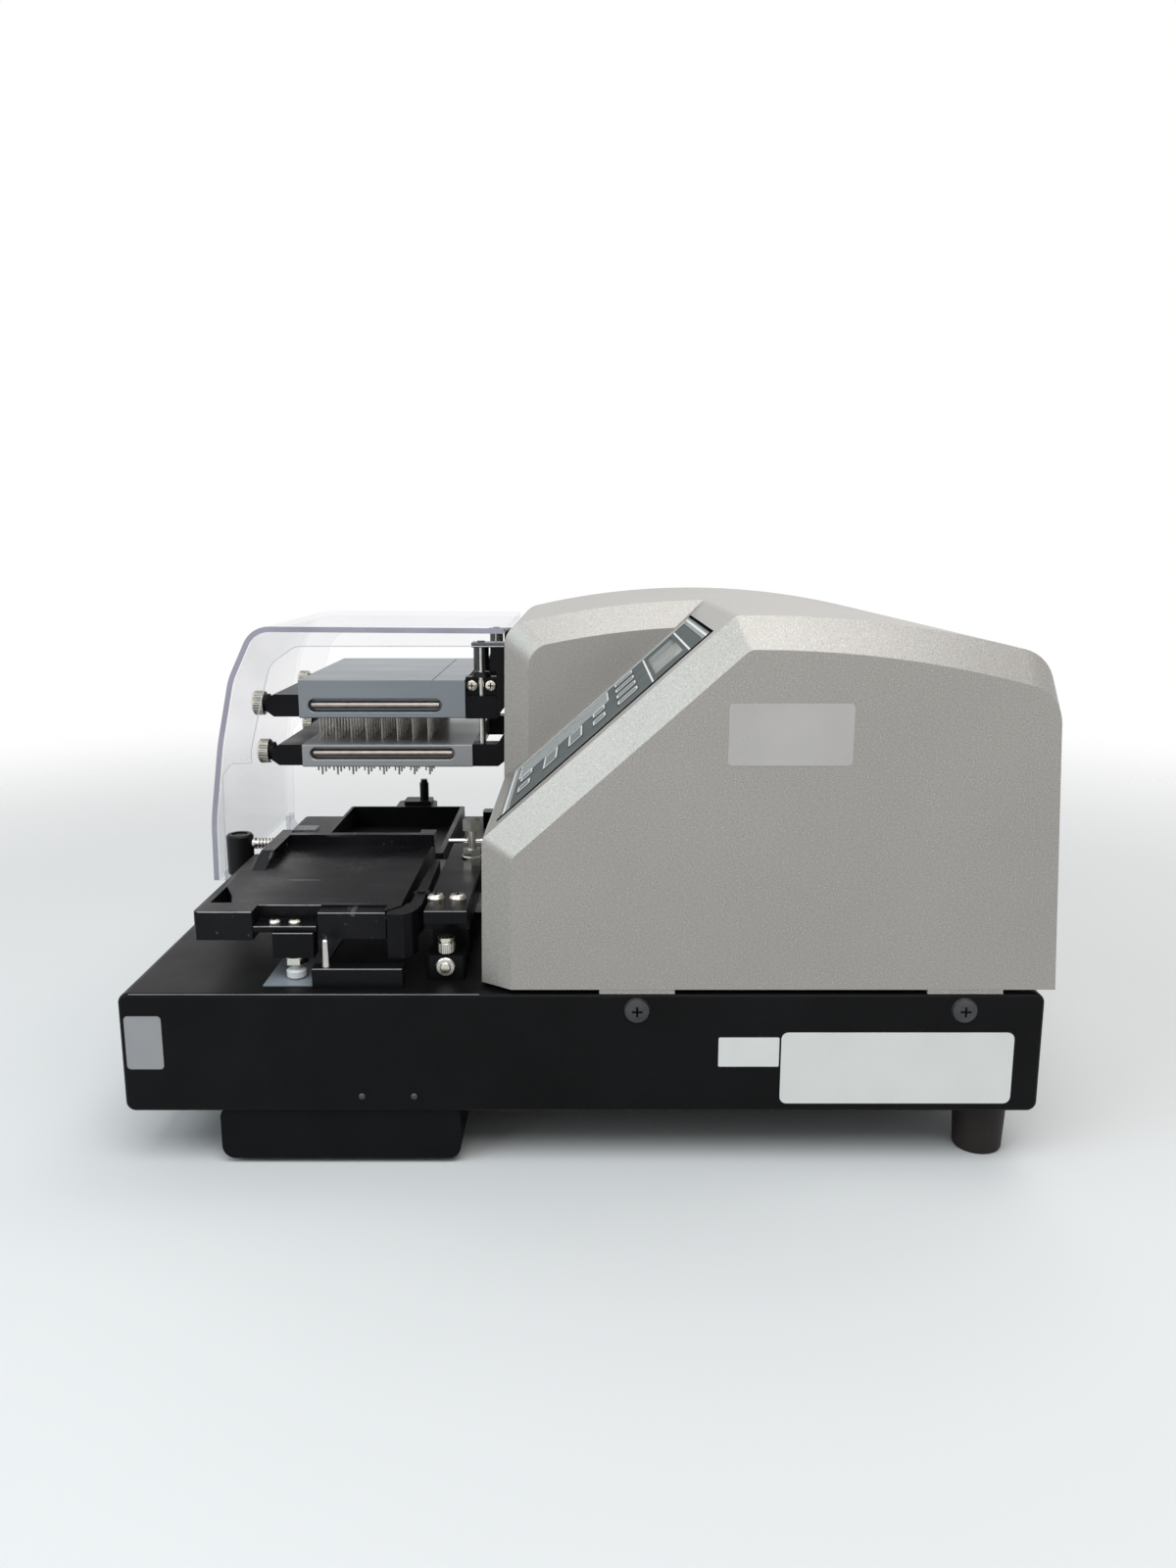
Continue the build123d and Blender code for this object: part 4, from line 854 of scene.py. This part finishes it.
@dataclass
class ShieldTrim:
    """The edge of the clear cover's band, and its flange's rim painted pale as a highlight."""

    wall: float = 3.0
    rim_width: float = 0.5
    sunk: float = 0.02
    proud: float = 0.06
    outer: tuple[tuple[Flat, float], ...] = (
        ((-43.6, 237.3), 0.0), ((-184.0, 238.3), 16.0), ((-198.2, 209.0), 40.0),
        ((-206.3, 172.0), 120.0), ((-212.6, 128.0), 120.0), ((-213.3, 92.4), 0.0))
    opening: tuple[tuple[Flat, float], ...] = (
        ((-43.6, 227.6), 0.0), ((-160.0, 227.6), 12.0), ((-174.5, 217.5), 12.0),
        ((-180.3, 198.0), 0.0), ((-188.0, 168.0), 0.0), ((-188.0, 161.3), 0.0),
        ((-199.5, 161.3), 4.0), ((-205.0, 154.0), 4.0), ((-206.4, 92.4), 0.0))

    def build(self, shop: Workshop) -> None:
        """Make the band's edge and the flange's rim.

        Args:
            shop: Makes the pieces.
        """
        near_x = node_box("mist_shield")[1].x
        for name, path, width, paint in (
                ("shield_edge", self.outer, self.wall, Paint.CLEAR_EDGE),
                ("shield_rim_highlight", self.opening, self.rim_width, Paint.CLEAR_RIM_HIGHLIGHT)):
            shape = Shape()
            shape.ribbon(filleted(path), -width, near_x - self.sunk, near_x + self.proud)
            shop.piece(name, shape.mesh, paint, Body.SHIELD, smooth=False)


@dataclass
class EdgeHighlights:
    """Painted highlights on the black machined parts' bare metal edges, and a glint on the chassis.

    Each line has its X, its two limits along Y, and its Z.
    """

    width: float = 0.28
    proud: float = 0.05
    # Painted highlights along the nest's, the notch's and the carriage plate's edges.
    carrier: tuple[Limits, ...] = (
        (160.0, -176.6, -151.9, 117.2), (149.1, -151.5, -122.1, 117.2),
        (158.1, -121.7, -90.7, 116.2), (160.0, -151.2, -122.4, 110.3),
        (162.0, -142.0, -123.6, 107.7), (158.0, -72.6, -53.1, 117.0))
    # A painted highlight along the stop block's top edge.
    stop: tuple[Limits, ...] = ((171.0, -122.4, -81.6, 93.7),)
    # A painted glint along the powder-coated chassis's top edge, where the lamp would reflect.
    deck: tuple[Limits, ...] = ((177.97, -204.0, -46.0, 84.27),)

    def build(self, shop: Workshop) -> None:
        """Make the thin painted highlights on each body.

        Args:
            shop: Makes the pieces.
        """
        for name, runs, body, paint in (
                ("carrier_edge_highlights", self.carrier, Body.CARRIER, Paint.EDGE_HIGHLIGHT),
                ("stop_edge_highlight", self.stop, Body.BASE, Paint.EDGE_HIGHLIGHT),
                ("deck_edge_glint", self.deck, Body.BASE, Paint.EDGE_GLINT)):
            shape = Shape()
            for x, y0, y1, z in runs:
                shape.block((x - self.width, y0, z - self.width),
                            (x + self.proud, y1, z + self.proud))
            shop.piece(name, shape.mesh, paint, body, smooth=False)


@dataclass
class CrossRecesses:
    """The crosses in the carriage's, bracket's and housing's screw heads, painted black as shade.
    """

    carriage: tuple[Flat, ...] = ((142.1, -69.0), (142.1, -58.6))
    carriage_size: Cross = Cross(2.0, 0.4, (0.3, 0.3), (0.04, 0.05))
    bracket: tuple[Flat, ...] = ((155.2, -142.6), (155.2, -133.2))
    bracket_top: float = 112.3
    bracket_size: Cross = Cross(1.45, 0.4, (0.3, 0.3), (0.04, 0.05))
    side: tuple[Flat, ...] = ((25.2, 76.7), (173.1, 76.7))
    side_size: Cross = Cross(2.4, 0.45, (0.3, 0.305), (0.05, 0.055))

    def build(self, shop: Workshop) -> None:
        """Make the crosses.

        Args:
            shop: Makes the pieces.
        """
        carriage_top = node_box("carrier_screws")[1].z
        for name, places, top, size in (
                ("carriage_crosses", self.carriage, carriage_top, self.carriage_size),
                ("bracket_crosses", self.bracket, self.bracket_top, self.bracket_size)):
            shape = Shape()
            for x, y in places:
                shape.cross((x, y, top), Axis.Z, size)
            # The crosses are painted black as the shade inside the screws' recesses.
            shop.piece(name, shape.mesh, Paint.SEAM, Body.CARRIER, smooth=False)
        side_x = node_box("housing_screws")[1].x
        shape = Shape()
        for facing in (1, -1):
            for y, z in self.side:
                shape.cross((facing * side_x, y, z), Axis.X, self.side_size, facing)
        # The crosses are painted black as the shade inside the screws' recesses.
        shop.piece("side_crosses", shape.mesh, Paint.SEAM, Body.BASE, smooth=False)


@dataclass
class Thumbscrews:
    """The knurled nickel heads of the four thumbscrews."""

    places_x: Flat = (-104.0, 5.0)
    upper: Flat = (-180.0, 193.6)
    lower: Flat = (-178.4, 165.6)
    teeth: int = 44
    rings: tuple[Ring, ...] = (
        (6.2, 2.35, 0.0), (6.95, 2.9, 0.0), (7.05, 3.1, 0.28), (7.05, 7.9, 0.28),
        (6.95, 8.1, 0.0), (6.3, 8.9, 0.0), (4.6, 8.95, 0.0), (4.3, 8.85, 0.0))

    def build(self, shop: Workshop) -> None:
        """Make the heads.

        Args:
            shop: Makes the pieces.
        """
        for name, (y, z), body in (("upper_thumb_heads", self.upper, Body.ASPIRATE_HEAD),
                                   ("lower_thumb_heads", self.lower, Body.DISPENSE_HEAD)):
            shape = Shape()
            for x in self.places_x:
                shape.knurl(self.rings, self.teeth, Axis.Y, (x, y, z), facing=-1)
            shop.piece(name, shape.mesh, Paint.NICKEL, body)


@dataclass
class HeadFittings:
    """The small fittings at the rear of the wash head."""

    frame_width: float = 12.0
    cap_margin: float = 0.15
    cap_setback: float = 0.35
    cap_rear_y: float = -44.0
    cap_skirt: float = 1.1
    cap_top: float = 0.2
    cap_chamfer: float = 0.15
    screw_x: float = 10.8
    screw_places: tuple[Flat, ...] = ((-62.9, 204.2), (-52.2, 204.2))
    screw_head: tuple[Flat, ...] = ((3.3, -0.1), (3.3, 0.9), (2.9, 1.6), (1.9, 2.0), (0.0, 2.1))
    screw_cross: Cross = Cross(1.6, 0.35, (0.4, 0.4), (0.02, 0.03))

    def caps(self, shop: Workshop) -> None:
        """Make the silver plates over the frames' tops.

        Args:
            shop: Makes the pieces.
        """
        low, high = node_box("head_frames")
        shape = Shape()
        for x in (high.x - self.frame_width, low.x):
            shape.block((x - self.cap_margin, low.y + self.cap_setback, high.z - self.cap_skirt),
                        (x + self.frame_width + self.cap_margin, self.cap_rear_y,
                         high.z + self.cap_top), self.cap_chamfer)
        shop.piece("frame_caps", shape.mesh, Paint.CAP_GREY, Body.DISPENSE_HEAD)

    def screws(self, shop: Workshop) -> None:
        """Make the connector's screws and their crosses, painted black as the shade in the
        recesses.

        Args:
            shop: Makes the pieces.
        """
        heads, crosses = Shape(), Shape()
        face_x = self.screw_x + self.screw_head[-1][1]
        for y, z in self.screw_places:
            heads.lathe(self.screw_head, Axis.X, (self.screw_x, y, z), steps=28)
            crosses.cross((face_x, y, z), Axis.X, self.screw_cross)
        shop.piece("connector_screws", heads.mesh, Paint.NICKEL, Body.ASPIRATE_HEAD)
        # The crosses are painted black as the shade inside the screws' recesses.
        shop.piece("connector_crosses", crosses.mesh, Paint.SEAM, Body.ASPIRATE_HEAD,
                   smooth=False)

    def build(self, shop: Workshop) -> None:
        """Make the plates and the screws."""
        self.caps(shop)
        self.screws(shop)


@dataclass
class FootNut:
    """The metal nut on the white levelling foot."""

    corners: int = 6
    flat_radius: float = 5.1
    corner_reach: float = 0.75
    chamfer: float = 0.3
    bottom_z: float = 92.1
    full_z: float = 92.5
    top_z: float = 94.6
    flange: tuple[Flat, ...] = ((0.0, 94.5), (5.3, 94.5), (5.35, 95.0), (5.2, 95.65), (0.0, 95.7))

    def build(self, shop: Workshop) -> None:
        """Make the hexagon and its flange.

        Args:
            shop: Makes the pieces.
        """
        low, high = node_box("levelling_foot")
        centre = ((low.x + high.x) / 2, (low.y + high.y) / 2, 0.0)
        rings = ((self.flat_radius - self.chamfer, self.bottom_z, -self.corner_reach),
                 (self.flat_radius, self.full_z, -self.corner_reach),
                 (self.flat_radius, self.top_z, -self.corner_reach))
        shape = Shape()
        shape.knurl(rings, self.corners, Axis.Z, centre)
        shape.lathe(self.flange, Axis.Z, centre, steps=28)
        shop.piece("foot_nut", shape.mesh, Paint.ZINC, Body.CARRIER)


@dataclass
class PlungerSpring:
    """The coil spring on the plunger's shaft."""

    wall_y: float = -171.2
    first_y: float = -171.7
    length: float = 9.3
    radius: float = 2.75
    wire_radius: float = 0.4
    wire_sides: int = 8
    turns: int = 5
    turn_steps: int = 24
    pressed_share: float = 0.56

    def build(self, shop: Workshop) -> None:
        """Wind the coil in place of the CAD spring, which is hidden.

        Args:
            shop: Makes the pieces.
        """
        low, high = node_box("plunger_shaft")
        x, z = (low.x + high.x) / 2, (low.z + high.z) / 2
        steps = self.turns * self.turn_steps
        wire = bmesh.new()
        ring = bmesh.ops.create_circle(wire, cap_ends=False, segments=self.wire_sides,
                                       radius=self.wire_radius)["verts"]
        bmesh.ops.translate(wire, vec=(x + self.radius, self.first_y, z), verts=ring)
        edges = list({edge for vert in ring for edge in vert.link_edges})
        bmesh.ops.spin(wire, geom=ring + edges, cent=(x, 0.0, z), axis=(0.0, -1.0, 0.0),
                       dvec=(0.0, -self.length / steps, 0.0), angle=math.tau * self.turns,
                       steps=steps)
        ends = [edge for edge in wire.edges if edge.is_boundary]
        bmesh.ops.holes_fill(wire, edges=ends, sides=0)
        coil = shop.piece("plunger_coil", wire, Paint.STEEL, Body.CARRIER)
        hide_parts("plunger_spring")
        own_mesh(coil)


@dataclass
class DeckAdjuster:
    """The knurled adjuster on the rail's end block and the screw in the rail's end."""

    adjuster_x: float = 156.6
    teeth: int = 30
    lower_rings: tuple[Ring, ...] = (
        (3.6, 97.1, 0.0), (4.0, 97.4, 0.2), (4.0, 101.6, 0.2), (3.6, 101.9, 0.0))
    upper_rings: tuple[Ring, ...] = (
        (3.6, 103.0, 0.0), (4.0, 103.2, 0.0), (4.0, 104.4, 0.0), (3.5, 104.7, 0.0))
    end_screw: tuple[Flat, ...] = ((2.6, 0.0), (2.6, 0.5), (2.1, 1.1), (1.0, 1.3), (0.0, 1.3))

    def build(self, shop: Workshop) -> None:
        """Make the knurled rings and the rail's end screw.

        Args:
            shop: Makes the pieces.
        """
        low, high = node_box("guide_rail")
        rail_y, rail_z = (low.y + high.y) / 2, (low.z + high.z) / 2
        shape = Shape()
        for rings in (self.lower_rings, self.upper_rings):
            shape.knurl(rings, self.teeth, Axis.Z, (self.adjuster_x, rail_y, 0.0))
        shape.lathe(self.end_screw, Axis.X, (high.x, rail_y, rail_z), steps=24)
        shop.piece("adjuster_rings", shape.mesh, Paint.NICKEL, Body.BASE)


@dataclass
class Slope:
    """The keypad's sloping plane, measured up from its foot."""

    foot: Flat = (-45.0, 153.3)
    head: Flat = (67.4, 253.4)

    def place(self, x: float, up: float, out: float) -> Point:
        """Find a point by the slope.

        Args:
            x: Its X.
            up: How far up the slope it lies.
            out: How far out from the slope it lies.

        Returns:
            The point.
        """
        along = (Vector(self.head) - Vector(self.foot)).normalized()
        return (x, self.foot[0] + along.x * up - along.y * out,
                self.foot[1] + along.y * up + along.x * out)

    def outward(self, amount: float) -> Vector:
        """Return a step out from the slope."""
        return Vector(self.place(0, 0, amount)) - Vector(self.place(0, 0, 0))


@dataclass
class KeypadFace:
    """The printed borders and key fields on the membrane, and painted shade in the gap beside it.

    A field has its two X limits and its two limits up the slope.
    """

    slope: Slope = field(default_factory=Slope)
    film_out: float = -0.7
    frame_out: float = -0.5
    key_out: float = -0.2
    lip_out: float = -0.05
    layer: float = 0.04
    thickness: float = 0.12
    side_line: float = 1.5
    cross_line: float = 0.8
    film_lines: tuple[Limits, ...] = ((44.0, 144.0, 103.0, 104.0), (44.0, 144.0, 125.0, 126.0))
    frame_lines: tuple[Limits, ...] = (
        (41.0, 148.0, 134.6, 135.8), (41.0, 148.0, 11.0, 12.0), (37.6, 38.8, 11.0, 136.5))
    # Painted shade: dark strips for the shadowed gap beside the keypad and at its head.
    shade_strips: tuple[Limits, ...] = ((151.1, 156.3, 8.5, 138.6), (37.0, 151.1, 137.2, 138.6))
    far_field: Limits = (44.5, 80.5, 15.6, 78.0)
    far_rows: int = 4
    key_margin: float = 0.4
    small_key: Flat = (12.0, 13.0)
    small_keys: tuple[Flat, ...] = ((54.0, 89.5), (77.0, 89.5), (100.0, 89.5), (123.0, 89.5))
    flat_key: Flat = (14.0, 8.5)
    flat_keys: tuple[Flat, ...] = ((92.0, 22.5), (118.0, 22.5), (92.0, 71.5), (118.0, 71.5))
    wide_key: Flat = (33.0, 9.5)
    wide_keys: tuple[Flat, ...] = ((105.0, 39.5), (105.0, 56.0))

    def patch(self, shape: Shape, limits: Limits, out: float) -> None:
        """Add a thin field parallel to the slope.

        Args:
            shape: The shape that takes it.
            limits: The field's limits.
            out: How far out from the slope it starts.
        """
        x0, x1, up0, up1 = limits
        corners = [self.slope.place(x, up, out) for x, up in
                   ((x0, up0), (x1, up0), (x1, up1), (x0, up1))]
        shape.sheet(corners, self.slope.outward(self.thickness))

    def ring(self, shape: Shape, limits: Limits, out: float) -> None:
        """Add a thin printed border round a field.

        Args:
            shape: The shape that takes it.
            limits: The field's limits.
            out: How far out from the slope it starts.
        """
        x0, x1, up0, up1 = limits
        wide, thin = self.side_line, self.cross_line
        for part in ((x0, x0 + wide, up0, up1), (x1 - wide, x1, up0, up1),
                     (x0, x1, up0, up0 + thin), (x0, x1, up1 - thin, up1)):
            self.patch(shape, part, out)

    def far_keys(self, lines: Shape, fields: Shape) -> None:
        """Add the far field and the lines that part its keys.

        Args:
            lines: The shape that takes the lines.
            fields: The shape that takes the field.
        """
        x0, x1, up0, up1 = self.far_field
        line_out = self.film_out + self.layer
        self.patch(fields, self.far_field, self.film_out)
        self.ring(lines, self.far_field, line_out)
        for row in range(1, self.far_rows):
            x = x0 + (x1 - x0) * row / self.far_rows
            self.patch(lines, (x - self.side_line / 2, x + self.side_line / 2, up0, up1), line_out)

    def near_keys(self, lines: Shape, fields: Shape) -> None:
        """Add the single keys with their borders.

        Args:
            lines: The shape that takes the borders.
            fields: The shape that takes the keys.
        """
        for places, (width, height) in ((self.small_keys, self.small_key),
                                        (self.flat_keys, self.flat_key),
                                        (self.wide_keys, self.wide_key)):
            half_width, half_height = width / 2 - self.key_margin, height / 2 - self.key_margin
            for x, up in places:
                key = (x - half_width, x + half_width, up - half_height, up + half_height)
                self.patch(fields, key, self.key_out)
                self.ring(lines, key, self.key_out + self.layer)

    def build(self, shop: Workshop) -> None:
        """Make the lines, the key fields and the painted shade beside the keypad.

        Args:
            shop: Makes the pieces.
        """
        lines, fields, dark = Shape(), Shape(), Shape()
        for shape, runs, out in ((lines, self.film_lines, self.film_out),
                                 (lines, self.frame_lines, self.frame_out),
                                 (dark, self.shade_strips, self.lip_out)):
            for limits in runs:
                self.patch(shape, limits, out)
        self.far_keys(lines, fields)
        self.near_keys(lines, fields)
        for name, shape, paint in (("keypad_lines", lines, Paint.KEY_LINE),
                                   ("keypad_fields", fields, Paint.KEY_GREY),
                                   ("keypad_edge_shade", dark, Paint.SEAM)):
            shop.piece(name, shape.mesh, paint, Body.BASE, smooth=False)


@dataclass(frozen=True)
class Lamp:
    """A square soft lamp, in metres and watts, that points at a target."""

    name: str
    place: Point
    target: Point
    size: float
    power: float
    colour: Point

    def hang(self) -> None:
        """Add the lamp to the scene."""
        light = bpy.data.lights.new(self.name, "AREA")
        light.shape = "SQUARE"
        light.size = self.size
        light.energy = self.power
        light.color = self.colour
        lamp = bpy.data.objects.new(self.name, light)
        lamp.location = self.place
        aim = Vector(self.target) - Vector(self.place)
        lamp.rotation_euler = aim.to_track_quat("-Z", "Y").to_euler()
        bpy.context.scene.collection.objects.link(lamp)


@dataclass
class Studio:
    """The floor, the lights and the camera at the photograph's view.

    Places and sizes are in metres, and the lens and its sensor are in millimetres.
    """

    camera_place: Point = (0.678, 0.0031, 0.2827)
    pitch_down: float = 11.5
    lens: float = 27.0
    sensor_width: float = 36.0
    nearest: float = 0.01
    soft_colour: Point = (0.96, 0.98, 1.0)
    soft_strength: float = 0.38
    floor_size: float = 1.6
    floor_paint: FadingFloor = FadingFloor("pale_floor", (0.80, 0.80, 0.80), 0.6, 0.0, 0.02, 3.0,
                                           specular=0.1)
    lamps: tuple[Lamp, ...] = (
        Lamp("ceiling_lamp", (0.95, 0.15, 1.6), (0.0, 0.0, 0.1), 1.3, 16.0, (0.97, 0.99, 1.0)),
        Lamp("slope_lamp", (0.87, -1.1, 1.1), (0.0, 0.0, 0.15), 1.1, 9.0, (0.80, 0.95, 1.0)),
        Lamp("back_lamp", (-0.6, 0.5, 1.5), (0.0, 0.0, 0.1), 1.2, 7.0, (1.0, 0.98, 0.95)))

    def world(self) -> None:
        """Light the scene evenly and show white behind it."""
        world = bpy.data.worlds.new("studio_world")
        bpy.context.scene.world = world
        world.use_nodes = True
        nodes, links = world.node_tree.nodes, world.node_tree.links
        nodes.clear()
        mixed = nodes.new("ShaderNodeMixShader")
        rays = nodes.new("ShaderNodeLightPath")
        seen = rays.outputs["Is Camera Ray"]
        for name in ("Is Glossy Ray", "Is Transmission Ray"):
            either = nodes.new("ShaderNodeMath")
            either.operation = "MAXIMUM"
            links.new(seen, either.inputs[0])
            links.new(rays.outputs[name], either.inputs[1])
            seen = either.outputs[0]
        links.new(seen, mixed.inputs[0])
        for index, colour, strength in ((1, self.soft_colour, self.soft_strength),
                                        (2, WHITE, 1.0)):
            glow = nodes.new("ShaderNodeBackground")
            glow.inputs["Color"].default_value = (*colour, 1.0)
            glow.inputs["Strength"].default_value = strength
            links.new(glow.outputs[0], mixed.inputs[index])
        links.new(mixed.outputs[0], nodes.new("ShaderNodeOutputWorld").inputs["Surface"])

    def floor(self) -> None:
        """Lay the pale floor."""
        shape = bmesh.new()
        bmesh.ops.create_grid(shape, x_segments=1, y_segments=1, size=self.floor_size)
        mesh = bpy.data.meshes.new("studio_floor")
        shape.to_mesh(mesh)
        shape.free()
        mesh.materials.append(self.floor_paint.build())
        floor = bpy.data.objects.new("studio_floor", mesh)
        bpy.context.scene.collection.objects.link(floor)

    def camera(self) -> None:
        """Set the camera at the photograph's view."""
        data = bpy.data.cameras.new("photo_camera")
        data.lens = self.lens
        data.sensor_width = self.sensor_width
        data.clip_start = self.nearest
        camera = bpy.data.objects.new("photo_camera", data)
        camera.location = self.camera_place
        camera.rotation_euler = (math.radians(90.0 - self.pitch_down), 0.0, math.radians(90.0))
        bpy.context.scene.collection.objects.link(camera)
        bpy.context.scene.camera = camera

    def build(self) -> None:
        """Set up the whole studio."""
        self.world()
        self.floor()
        for lamp in self.lamps:
            lamp.hang()
        self.camera()


def main() -> None:
    """Load the frame, dress it, add the pieces and set up the studio."""
    logging.basicConfig(level=logging.INFO, format="%(name)s: %(message)s")
    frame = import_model()
    bpy.context.scene.view_settings.view_transform = "Standard"
    shop = Workshop()
    shop.dress(frame["nodes"])
    for assembly in (LabelPlates(), PanRivets(), ShieldTrim(), EdgeHighlights(), CrossRecesses(),
                     Thumbscrews(), HeadFittings(), FootNut(), PlungerSpring(), DeckAdjuster(),
                     KeypadFace()):
        assembly.build(shop)
    Studio().build()


if __name__ == "__main__":
    main()
